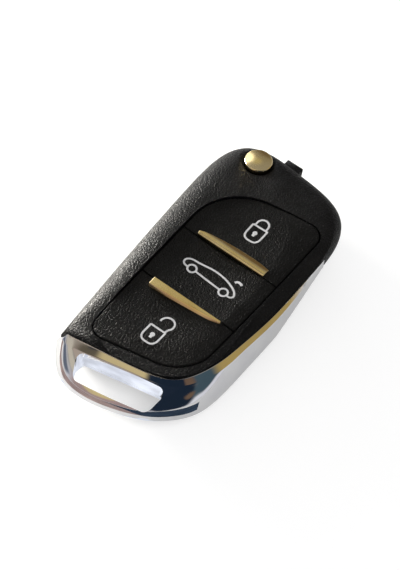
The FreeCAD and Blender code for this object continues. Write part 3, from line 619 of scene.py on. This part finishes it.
def printedPaint(look):
    mat, tree, shader = startMaterial("symbolPaint", gloss=look["gloss"])
    place = objectPlace(tree)
    slow = noiseAt(tree, place, look["slow"], 4, 0.6)
    marks = placeGroup(tree, handlingMarks, Place=place, Amount=look["use"])
    tone = mixed(tree, ramp(tree, slow, *noiseSpan), look["dark"], look["pale"])
    tone = mixed(tree, times(tree, marks["Smears"], look["smearShare"]), tone, look["smear"])
    feedAll(tree, shader, BaseColor=tone, Roughness=ramp(tree, slow, *noiseSpan, *look["rough"]),
            Normal=bumpUp(tree, noiseAt(tree, place, look["fine"], 2), look["depth"]))
    return mat


def strokeSurface(path, ink=symbolInk, width=None, closed=False):
    # ribbon along a path: its profile rises from under the pad to a low dome and back, square to the path
    path = np.asarray(path, float)
    if closed:
        side = outwardOf(path)
    else:
        along = unit(np.gradient(path, axis=0))
        side = np.stack([along[:, 1], -along[:, 0]], 1)
    reach = np.array(ink["across"]) * (width or ink["width"]) / 2
    place = path[:, None, :] + side[:, None, :] * reach[None, :, None]
    z = padHeight(place[..., 0], place[..., 1]) + np.array(ink["height"]) * ink["rise"]
    return np.concatenate([place, z[..., None]], 2)


def runsJoined(*runs, step=symbolInk["step"]):
    # straight and curved runs in a row, put at even steps
    points = np.concatenate([np.asarray(r, float).reshape(-1, 2) for r in runs])
    keep = np.concatenate([[True], np.linalg.norm(np.diff(points, axis=0), axis=1) > 1e-4])
    points = points[keep]
    steps = np.concatenate([[0], np.cumsum(np.linalg.norm(np.diff(points, axis=0), axis=1))])
    even = np.linspace(0, steps[-1], max(int(steps[-1] / step), 8))
    return np.column_stack([np.interp(even, steps, points[:, i]) for i in (0, 1)])


def padlockBody(form, bowlShare=0.42, squareness=0.62):
    # flat top, straight sides and a bottom that rounds like a shield
    x, y = form["middle"]
    half, deep = form["wide"] / 2, form["tall"] * bowlShare
    bend = np.radians(np.linspace(180, 360, 40))
    cosine = np.cos(bend)
    bowl = np.column_stack([x + half * np.sign(cosine) * np.abs(cosine) ** squareness,
                            y - form["tall"] + deep + deep * np.sin(bend)])
    return runsJoined([(x - half, y)], bowl, [(x + half, y), (x - half, y)])


def keyhole(centre, form=keyholeForm):
    # small filled disc with a flat flared foot, as rings that shrink to its middle
    turns = np.linspace(0, 2 * np.pi, 72, endpoint=False)
    aside = np.abs(turns - 1.5 * np.pi)
    foot = 1 / (1 + (aside / form["footHalf"]) ** 8)
    flat = form["footReach"] / np.cos(np.minimum(aside, 0.5))
    far = form["radius"] + foot * (flat - form["radius"])
    rings = []
    for share, rise in form["rings"]:
        place = arcPoints(centre, far * share, turns)
        rings.append(np.column_stack([place, padHeight(*place.T) + rise]))
    return np.stack(rings)


def addSymbol(name, body, grid, **loops):
    surfacePiece(name, grid, body, "key_plastic", sharp=60, shell=False, finish=symbolPaint, **loops)


def addLock(label, body, form):
    middle = np.array(form["middle"])
    feet = middle + form["feet"]
    bow = arcPoints(middle + form["bowAt"], form["bowRadius"], np.radians(np.linspace(*form["bowTurn"], 24)))
    addSymbol(label + "Body", body, strokeSurface(padlockBody(form)))
    addSymbol(label + "Shackle", body, strokeSurface(runsJoined(feet[:1], bow, feet[1:])))
    addSymbol(label + "Hole", body, keyhole(middle + form["hole"]), loopV=True)


def addCar(body, form):
    roof, gate = (curveThrough(form[key], alongOf(form[key]), np.linspace(0, 1, count))
                  for key, count in (("roof", 150), ("tailgate", 30)))
    front, rear = (np.array(w) for w in form["wheels"])
    slope = np.arctan2(*(rear - front)[::-1])
    reach = np.array((np.cos(slope), np.sin(slope))) * form["wheel"]
    addSymbol("trunkSymbolRoof", body, strokeSurface(roof))
    addSymbol("trunkSymbolSill", body, strokeSurface(runsJoined([front + reach, rear - reach])))
    for label, centre in (("1", front), ("2", rear)):
        ring = arcPoints(centre, form["wheel"], np.radians(np.linspace(0, 360, 61)))[:-1]
        addSymbol("trunkSymbolWheel" + label, body, strokeSurface(ring, closed=True), loopU=True)
    addSymbol("trunkSymbolGate", body, strokeSurface(gate, width=form["tailgateWidth"]))


symbolPaint = printedPaint(paintLook)
addLock("lockSymbol", "lock_key", closedLock)
addLock("unlockSymbol", "unlock_key", openLock)
addCar("trunk_key", carShape)
print("symbols made")


# gold strips: one profile carried along the strip, drawn in at both ends
lockStrip = {
    "left": -7.9, "right": 9.9, "low": 5.9, "seat": 13.35, "top": 15.35, "edge": 0.16,
    "high": ((-7.9, 6.75), (-7.4, 7.0), (-4.5, 7.75), (-0.9, 8.4), (2.9, 8.8), (7.0, 8.8), (9.9, 8.2)),
    "ridge": 0.9, "round": 3.6, "reach": 3.0,       # the ridge is a circle, this far up from the lower edge
    # points near either edge: shares of the width, and how many edge sizes they drop
    "edgeAcross": (0, 0, 0, 0.02, 0.07), "edgeDrop": (9, 5, 1.0, 0.3, 0.05),
}
unlockStrip = {
    "left": -7.8, "right": 9.9, "high": -9.56, "seat": 13.35, "top": 15.45, "lowTop": 14.7, "edge": 0.12,
    "low": ((-7.8, -11.95), (-4.0, -11.75), (0.0, -11.35), (5.7, -10.75), (9.9, -10.2)),
    "ridge": ((-7.8, -11.6), (-4.0, -11.3), (0.0, -10.85), (5.7, -10.2), (9.9, -9.8)),
    "hollow": 1.15,     # power by which the lower face falls
}
# stations near an end as shares of the length, and how full the section is there
stripEnds = {"at": (0, 0, 0.0015, 0.006, 0.014), "full": (0, 0.9, 0.95, 0.98, 0.995), "inner": 0.028}


def stripSurface(section, form, ends=stripEnds, count=70):
    # the section's rings of y and z along x; each is drawn in towards its middle by how full it is
    near, fullness = (np.array(ends[key]) for key in ("at", "full"))
    share = np.concatenate([near, np.linspace(ends["inner"], 1 - ends["inner"], count), 1 - near[::-1]])
    full = np.concatenate([fullness, np.ones(count), fullness[::-1]])[:, None]
    x = form["left"] + (form["right"] - form["left"]) * share
    y, z = section(x, form)
    y, z = (ring.mean(1, keepdims=True) + (ring - ring.mean(1, keepdims=True)) * full for ring in (y, z))
    return np.stack([np.repeat(x[:, None], y.shape[1], 1), y, z], 2)


def lockSection(x, form):
    # a wide circle over the ridge, its edges dropped to the seat
    edges, drops = (np.array(form[key]) for key in ("edgeAcross", "edgeDrop"))
    across = np.concatenate([edges, np.linspace(0.12, 0.88, 20), 1 - edges[::-1]])
    y = form["low"] + (curveOver(form["high"], x) - form["low"]) * across
    away = np.minimum(np.abs(y - form["low"] - form["ridge"]), form["reach"])
    drop = np.concatenate([drops, np.zeros(20), drops[::-1]]) * form["edge"]
    return y, np.maximum(form["top"] - circleFall(away, form["round"]) - drop, form["seat"])


def unlockSection(x, form):
    # level from the upper edge to the ridge, then falling to the lower edge
    foot, crest = (curveOver(form[key], x) for key in ("low", "ridge"))
    head = np.full_like(foot, form["high"])
    seat, top, lowTop, edge = (form[key] for key in ("seat", "top", "lowTop", "edge"))
    upper, lower = np.linspace(0.04, 1, 12), np.linspace(0.06, 1, 9)
    y = np.hstack([head, head, head - 0.3 * edge, head + (crest - head) * upper,
                   crest + (foot - crest) * lower, foot, foot])
    z = np.concatenate([(seat, top - edge, top - 0.25 * edge), np.full(len(upper), top),
                        top - (top - lowTop) * lower ** form["hollow"], (lowTop - edge, seat)])
    return y, np.tile(z, (len(x), 1))


surfacePiece("lockStripFace", stripSurface(lockSection, lockStrip), "lock_key", "gold_metal", loopV=True,
             sharp=50, stands=("lock_strip",))
surfacePiece("unlockStripFace", stripSurface(unlockSection, unlockStrip), "unlock_key", "gold_metal",
             loopV=True, sharp=28, stands=("unlock_strip",))
print("gold strips made")


# release button: a profile turned about the hub's axis
hubMiddle = (-9.6, 31.5)
releaseForm = {
    "radius": 3.25, "top": 15.9, "dome": 0.42, "edge": 0.3,
    "collar": 3.8, "collarTop": 11.2, "foot": 10.0,
}


def turned(profile, middle, count=128):
    # each (radius, height) of the profile carried round a full turn
    profile = np.asarray(profile, float)
    angle = np.linspace(0, 2 * np.pi, count, endpoint=False)
    x = middle[0] + profile[:, 0:1] * np.cos(angle)
    y = middle[1] + profile[:, 0:1] * np.sin(angle)
    return np.stack([x, y, np.repeat(profile[:, 1:2], count, 1)], 2)


def releaseProfile(form):
    # crown that falls with the square of the radius, a quarter-round rim, then the wall and the collar
    inner = form["radius"] - form["edge"]
    r = np.linspace(0, inner, 18)
    crown = np.column_stack([r, form["top"] - form["dome"] * (r / form["radius"]) ** 2])
    bend = np.radians(np.linspace(8, 90, 8))
    rim = np.column_stack([inner + form["edge"] * np.sin(bend),
                           crown[-1, 1] - form["edge"] * (1 - np.cos(bend))])
    rest = [(form["radius"], form["collarTop"]), (form["collar"], form["collarTop"]),
            (form["collar"], form["foot"]), (0, form["foot"])]
    return np.concatenate([crown, rim, rest])


surfacePiece("releaseCap", turned(releaseProfile(releaseForm), hubMiddle), "release", "gold_metal",
             loopV=True, sharp=50, stands=("release_button",))
print("release button made")


# spring: round wire on a helix
springForm = {"radius": 3.1, "wire": 0.7, "low": 2.25, "high": 9.64, "turns": 4, "seat": 1.85, "travel": 1.5}


def springSurface(form, steps=360, around=20):
    # wire's circle carried up the helix, square to it; both ends shrink to a point
    share = np.linspace(0, 1, steps)
    turn = 2 * np.pi * form["turns"] * share
    rise = form["high"] - form["low"]
    out = np.stack([np.cos(turn), np.sin(turn), np.zeros(steps)], 1)
    path = form["radius"] * out + np.array((*hubMiddle, 0))
    path[:, 2] = form["low"] + rise * share
    climb = np.full(steps, rise / (2 * np.pi * form["turns"]))
    along = unit(np.stack([-form["radius"] * np.sin(turn), form["radius"] * np.cos(turn), climb], 1))
    other = np.cross(along, out)
    bend = np.linspace(0, 2 * np.pi, around, endpoint=False)[None, :, None]
    ring = out[:, None, :] * np.cos(bend) + other[:, None, :] * np.sin(bend)
    return capped(path[:, None, :] + ring * form["wire"] / 2)


springCoil = surfacePiece("springCoil", springSurface(springForm), "blade", "spring_steel", loopV=True,
                          sharp=50, stands=("flip_spring",))
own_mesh(springCoil)
print("spring made")


# covers: the solids' own shells, shaded smooth up to this angle
shellSharp = 30
for name, node in (("frontShell", "front_cover"), ("rearShell", "rear_cover")):
    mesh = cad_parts[node].data.copy()
    mesh.name = name
    dressMesh(name, mesh, "case", "case_plastic", stands=(node,), sharp=shellSharp, shell=False)
print("shells smoothed")


# bright frame: a bevel, a hollow wall and its foot carried round the case, with the key-ring slot cut through
brightFrame = {
    # cover's outline, width of the bevel, foot of the wall
    "stations": (
        ((17.3, 19.2), 0.2, (17.6, 19.4)), ((17.4, 9.2), 0.7, (18.4, 8.6)), ((17.2, -1.5), 1.0, (18.7, -2.0)),
        ((16.2, -11.0), 1.15, (18.55, -12.0)), ((14.6, -19.3), 1.4, (17.95, -22.4)),
        ((11.9, -25.0), 1.2, (15.7, -28.3)), ((7.9, -27.9), 1.1, (10.4, -33.6)),
        ((2.0, -29.45), 1.0, (3.6, -36.8)), ((-5.6, -30.8), 1.4, (-5.0, -38.6)),
    ),
    # round the lower left corner: top of the bevel, its lip, foot of the wall
    "corner": (
        ((-12.3, -32.15), (-12.2, -33.6), (-12.6, -36.3)), ((-13.9, -32.25), (-14.4, -32.85), (-16.5, -31.7)),
    ),
    "gapToCover": 0.17,
    "lip": (12.9, 13.9), "fall": 0.95,      # lowest and highest lip, and its fall for each mm of bevel
    "top": 14.12, "skirt": 7.2, "bottom": 6.0, "slopeStart": 0.08,
    # circle on which the foot rises to the horn, as y and z
    "rise": ((-1.5, 5.0), (10.2, 9.4), (20.2, 11.3)),
    # line that ends the horn, as z and y
    "hornEnd": ((11.3, 19.3), (14.2, 18.95)),
    # circle that the left end rolls on, as z and x
    "shoulder": ((6.5, -16.7), (10.5, -15.3), (14.1, -13.0)),
    "footEnd": -38.6,
    # beside the cover: how far in the section is tucked, how deep, and its rounded edge as (in, down)
    "tuck": 0.09, "tuckDeep": 0.6, "tuckFoot": 0.25,
    "tuckEdge": ((0.09, 0.1), (0.082, 0.045), (0.062, 0.006), (0.035, -0.01), (0.0, 0.0)),
    # shares of the bevel between its edges, how far down the lip's turn ends, radius at the wall's foot
    "bevel": (0.93, 0.08), "lipTurn": 0.22, "footRound": 0.3, "sharp": 38,
}
ringSlot = {
    "left": -9.5, "right": 11.0, "caseSide": -31.15, "slant": 0.228, "width": 5.45, "bow": 0.55,
    "insets": (2.2, 1.4),       # corners at the foot lie this far in from the left and right end
    "radii": (1.4, 1.7, 2.8, 1.3), "levels": (16.0, 12.0, 8.0, 6.5, 5.0),
    "flareBelow": 8.0, "flare": 0.75, "flareSide": 1.2,
}


def frameCurves(form, count):
    # in plan where the bevel meets the cover, its lip and the wall's foot; then heights of lip and foot
    stations, corner = form["stations"], form["corner"]
    cover = np.array([s[0] for s in stations], float)
    width = np.array([s[1] for s in stations])
    along = unit(np.gradient(cover, axis=0))
    outward = np.stack([-along[:, 1], along[:, 0]], 1)
    meets = np.vstack([cover + outward * form["gapToCover"], [c[0] for c in corner]])
    lips = np.vstack([cover + outward * width[:, None], [c[1] for c in corner]])
    lows = np.vstack([[s[2] for s in stations], [c[2] for c in corner]])
    levels = np.clip(form["top"] - form["fall"] * width, *form["lip"])
    levels = np.append(levels, [form["lip"][0]] * len(corner))[:, None]
    at, spread = np.linspace(0, 1, count), alongOf((lips + lows) / 2)
    meet, lip, low, lipZ = (curveThrough(points, spread, at) for points in (meets, lips, lows, levels))
    y = low[:, 1:]
    risen = np.maximum(onCircle(form["rise"], y), form["bottom"])
    return meet, lip, low, lipZ, np.where(y > form["rise"][0][0], risen, form["bottom"])


def frameRows(form, count):
    # rows of the section from beside the cover over bevel, lip, wall and foot, and back below
    meet, lip, low, lipZ, bottom = frameCurves(form, count)
    top = np.full_like(lipZ, form["top"])
    inward, outward = unit(meet - lip), unit(low - meet)
    inside = meet + inward * form["tuck"]
    wallTop, footRound = lipZ - form["lipTurn"], form["footRound"]

    def wallRow(z, drawn=0.0):
        # the wall leans in by a small share of its height and the rest by the height's square
        rise = np.clip((z - form["skirt"]) / (lipZ - form["skirt"]), 0, 1)
        share = form["slopeStart"] * rise + (1 - form["slopeStart"]) * rise ** 2
        return low + (lip - low) * share - outward * drawn, z

    def bevelRow(share):
        return lip + (meet - lip) * share, lipZ + (top - lipZ) * share

    rows = [(inside, bottom + form["tuckFoot"]), (inside, lipZ - form["tuckDeep"]),
            (inside, top - form["tuckDeep"])]
    rows += [(meet + inward * back, top - down) for back, down in form["tuckEdge"]]
    rows += [bevelRow(share) for share in np.linspace(*form["bevel"], 10)]
    # the lip is a curve of second degree, pulled towards the corner of bevel and wall
    pulls = (bevelRow(form["bevel"][1]), (lip, lipZ), wallRow(wallTop))
    for share in np.linspace(0.12, 0.88, 7):
        weights = ((1 - share) ** 2, 2 * share * (1 - share), share ** 2)
        rows.append([sum(w * pull[i] for w, pull in zip(weights, pulls)) for i in (0, 1)])
    rows += [wallRow(wallTop + (bottom + footRound - wallTop) * share) for share in np.linspace(0, 1, 26)]
    for bend in np.radians((25, 50, 75, 90)):
        rows.append(wallRow(bottom + footRound * (1 - np.sin(bend)), footRound * (1 - np.cos(bend))))
    rows.append(((wallRow(bottom)[0] + inside) / 2, bottom))
    return np.stack([np.hstack(row) for row in rows], 1)


def frameSurface(form, count=420):
    # the rows, rolled at the left end, slanted at the horn's end and kept within the foot's end
    grid = frameRows(form, count)
    x, y, z = (grid[..., i] for i in range(3))
    (lowZ, lowY), (highZ, highY) = form["hornEnd"]
    rolled = onCircle(form["shoulder"], np.maximum(z, form["shoulder"][0][0]))
    slanted = lowY + (z - lowZ) * (highY - lowY) / (highZ - lowZ)
    return capped(np.stack([np.maximum(x, rolled), np.clip(y, form["footEnd"], slanted), z], 2))


def slotCutter(form):
    # rounded outline carried down; below the flare height its case side moves towards the case
    def slanted(x, away=0.0):
        return x, form["caseSide"] + form["slant"] * x - away

    left, right, deep = form["left"], form["right"], form["width"] - form["bow"]
    corners = [slanted(left), slanted(left + form["insets"][0], deep),
               slanted(right - form["insets"][1], deep), slanted(right)]
    loop = padOutline({"corners": corners, "bows": (0, form["bow"], 0, 0), "radii": form["radii"]})
    caseward = np.clip(outwardOf(loop)[:, 1] * form["flareSide"], 0, 1)
    rings = []
    for z in form["levels"]:
        shift = form["flare"] * max(form["flareBelow"] - z, 0)
        rings.append(np.column_stack([loop[:, 0], loop[:, 1] + shift * caseward, np.full(len(loop), z)]))
    return capped(np.stack(rings))


def cutWith(obj, cutter):
    # exact difference with the cutter, applied, and the cutter removed
    tool = obj.modifiers.new("slot", "BOOLEAN")
    tool.operation = "DIFFERENCE"
    tool.solver = "EXACT"
    tool.object = cutter
    bpy.context.view_layer.update()
    cut = bpy.data.meshes.new_from_object(obj.evaluated_get(bpy.context.evaluated_depsgraph_get()))
    obj.modifiers.clear()
    obj.data = cut
    bpy.data.objects.remove(cutter)


frameRing = surfacePiece("frameRing", frameSurface(brightFrame), "case", "bright_chrome", loopV=True,
                         sharp=brightFrame["sharp"], stands=("chrome_frame",))
cutWith(frameRing, surfacePiece("slotCutter", slotCutter(ringSlot), "case", "bright_chrome", loopV=True))
frameRing.data.set_sharp_from_angle(angle=np.radians(brightFrame["sharp"]))
print("frame made")


# floor, room and light, in metres
studio = {
    "world": 0.37,
    "floor": 0.6, "floorPale": 1.03, "floorGlow": 0.45, "floorHalf": 3.0, "floorLevel": -0.00002,
    "lamps": {
        # place, size, power, colour, seen in gloss
        "mainLamp": ((0.35, -0.25, 0.7), (0.45, 0.45), 4.2, (1, 1, 1), False),
        "sideLamp": ((-0.62, 0.30, 0.14), (0.5, 0.22), 0.7, (0.86, 0.93, 1), True),
        "shoulderLamp": ((-0.135, 0.008, 0.023), (0.07, 0.03), 0.72, (1, 0.96, 0.88), True),
    },
}
# glowing cloths flat on the floor that only gloss sees: corners in millimetres, colour
cloths = {
    "rosyCloth": (((-60, -300), (14, -300), (14, -45.5), (-12, -47.5), (-60, -40)), (0.36, 0.27, 0.25)),
    "navyCloth": (((14, -300), (250, -300), (70, -28), (26, -26), (22, -36), (14, -45.5)),
                  (0.03, 0.045, 0.07)),
    "paleCloth": (((-14, -40), (12, -38), (14, -28), (-14, -30)), (0.80, 0.84, 0.93)),
}
clothLook = {"level": 0.0002, "cloud": 0.12, "dimmest": 0.75, "brightest": 1.2}
# what gloss sees of the room: pale at the horizon, dim overhead, and toned patches all round
room = {
    "horizon": (0.66, 0.66, 0.70), "overhead": (0.28, 0.265, 0.24), "turning": (0.15, 0.6),
    "wander": 0.15, "wanderScale": 3.5,
    # direction, full within and gone beyond these angles in degrees, colour
    "tones": {
        "rosyFront": ((0.0, -0.98, 0.14), 16, 32, (0.37, 0.27, 0.25)),
        "goldenFront": ((-0.01, -0.935, 0.36), 8, 12, (0.56, 0.45, 0.23)),
        "navyFront": ((0.35, -0.83, 0.45), 12, 18, (0.010, 0.018, 0.032)),
        "brownFront": ((-0.06, -0.78, 0.62), 7, 13, (0.115, 0.095, 0.065)),
        "paleUpper": ((-0.10, -0.60, 0.79), 6, 12, (0.40, 0.33, 0.27)),
        "paleFront": ((-0.27, -0.78, 0.57), 6, 11, (0.52, 0.47, 0.38)),
        "slateFront": ((-0.15, -0.83, 0.54), 3, 7, (0.022, 0.03, 0.04)),
        "navyCorner": ((0.72, -0.56, 0.42), 24, 33, (0.010, 0.018, 0.032)),
        "navyTop": ((0.30, -0.45, 0.84), 15, 24, (0.012, 0.02, 0.035)),
        "tealCorner": ((0.95, 0.02, 0.38), 9, 16, (0.05, 0.08, 0.10)),
        "brownCorner": ((0.86, -0.26, 0.36), 3, 8, (0.14, 0.09, 0.06)),
        "goldRight": ((0.80, 0.47, 0.38), 17, 25, (0.36, 0.26, 0.09)),
        "slateLeft": ((-0.62, -0.76, 0.20), 6, 14, (0.12, 0.14, 0.18)),
        "brownBack": ((-0.25, 0.92, 0.30), 13, 26, (0.13, 0.095, 0.06)),
        "goldBack": ((-0.30, 0.48, 0.82), 4, 11, (0.43, 0.385, 0.23)),
        "windowTop": ((-0.12, -0.12, 0.98), 7, 13, (1.1, 0.95, 0.7)),
        "windowLeft": ((-0.64, 0.38, 0.66), 13, 18, (1.9, 1.85, 1.7)),
    },
}


def makeRoom(tree, look):
    # colour by the direction a ray leaves in: soft-edged tones over a level that falls from the horizon up
    ahead = tree.nodes.new("ShaderNodeTexCoord").outputs["Generated"]
    wander = look["wander"]
    drift = noiseAt(tree, ahead, look["wanderScale"], output="Color")
    shifted = vectorOn(tree, "ADD", ahead, (-wander / 2,) * 3)
    way = vectorOn(tree, "NORMALIZE", vectorOn(tree, "MULTIPLY_ADD", drift, (wander,) * 3, shifted))
    split = tree.nodes.new("ShaderNodeSeparateXYZ")
    feed(tree, split.inputs[0], way)
    height = ramp(tree, split.outputs["Z"], *look["turning"], smooth=True)
    colour = mixed(tree, height, look["horizon"], look["overhead"])
    for direction, inner, outer, tone in look["tones"].values():
        facing = vectorOn(tree, "DOT_PRODUCT", way, Vector(direction).normalized())
        gone, full = (float(np.cos(np.radians(angle))) for angle in (outer, inner))
        colour = mixed(tree, ramp(tree, facing, gone, full, smooth=True), colour, tone)
    return colour


def makeWorld(look, roomLook):
    # white to the camera, one grey level as light, and the room in gloss
    world = bpy.data.worlds.new("studioWorld")
    scene.world = world
    world.use_nodes = True
    tree = world.node_tree
    path = tree.nodes.new("ShaderNodeLightPath").outputs
    unlit = mathOn(tree, "MAXIMUM", path["Is Camera Ray"], path["Is Transmission Ray"])
    level = mixed(tree, unlit, (look["world"],) * 3, (1, 1, 1))
    seen = mixed(tree, path["Is Glossy Ray"], level, makeRoom(tree, roomLook))
    feed(tree, tree.nodes["Background"].inputs["Color"], seen)


def stageSheet(name, corners, level, mat):
    mesh = bpy.data.meshes.new(name)
    mesh.from_pydata([(x, y, level) for x, y in corners], [], [tuple(range(len(corners)))])
    mesh.materials.append(mat)
    sheet = addObject(name, mesh)
    return sheet


def makeFloor(look):
    # paper that glows a little to the camera alone
    mat, tree, shader = startMaterial("studioPaper", rough=0.9, gloss=0.1)
    grain = noiseAt(tree, objectPlace(tree), 0.8, 3)
    path = tree.nodes.new("ShaderNodeLightPath").outputs
    feedAll(tree, shader, EmissionColor=(1, 1, 1, 1),
            BaseColor=mixed(tree, grain, (look["floor"],) * 3, (look["floor"] * look["floorPale"],) * 3),
            EmissionStrength=ramp(tree, path["Is Camera Ray"], 0, 1, 0, look["floorGlow"]))
    half = look["floorHalf"]
    floor = stageSheet("studioFloor", [(-half, -half), (half, -half), (half, half), (-half, half)], 0, mat)
    floor.location.z = look["floorLevel"]


def floorCloth(name, corners, colour, look=clothLook):
    # unlit sheet just over the floor with a soft cloudy tone
    mat, tree, shader = startMaterial(name + "Paper", rough=1.0, gloss=0.0)
    cloud = ramp(tree, noiseAt(tree, objectPlace(tree), look["cloud"], 3), *noiseSpan, smooth=True)
    dim, bright = (tuple(c * look[key] for c in colour) for key in ("dimmest", "brightest"))
    feedAll(tree, shader, BaseColor=(0, 0, 0, 1), EmissionStrength=1.0,
            EmissionColor=mixed(tree, cloud, dim, bright))
    cloth = stageSheet(name, [(x * mm, y * mm) for x, y in corners], look["level"], mat)
    for path in ("camera", "diffuse", "shadow", "transmission", "volume_scatter"):
        setattr(cloth, "visible_" + path, False)


def makeLamps(lamps):
    # area lamps that face the frame's origin
    for name, (place, size, power, colour, glossy) in lamps.items():
        lamp = bpy.data.lights.new(name, "AREA")
        lamp.shape = "RECTANGLE"
        lamp.size, lamp.size_y = size
        lamp.energy = power
        lamp.color = colour
        obj = addObject(name, lamp)
        obj.location = place
        obj.rotation_euler = (-Vector(place)).to_track_quat("-Z", "Y").to_euler()
        obj.visible_glossy = glossy


makeWorld(studio, room)
makeFloor(studio)
makeLamps(studio["lamps"])
for name, (corners, colour) in cloths.items():
    floorCloth(name, corners, colour)
print("studio lit")

scene.view_settings.view_transform = "Standard"
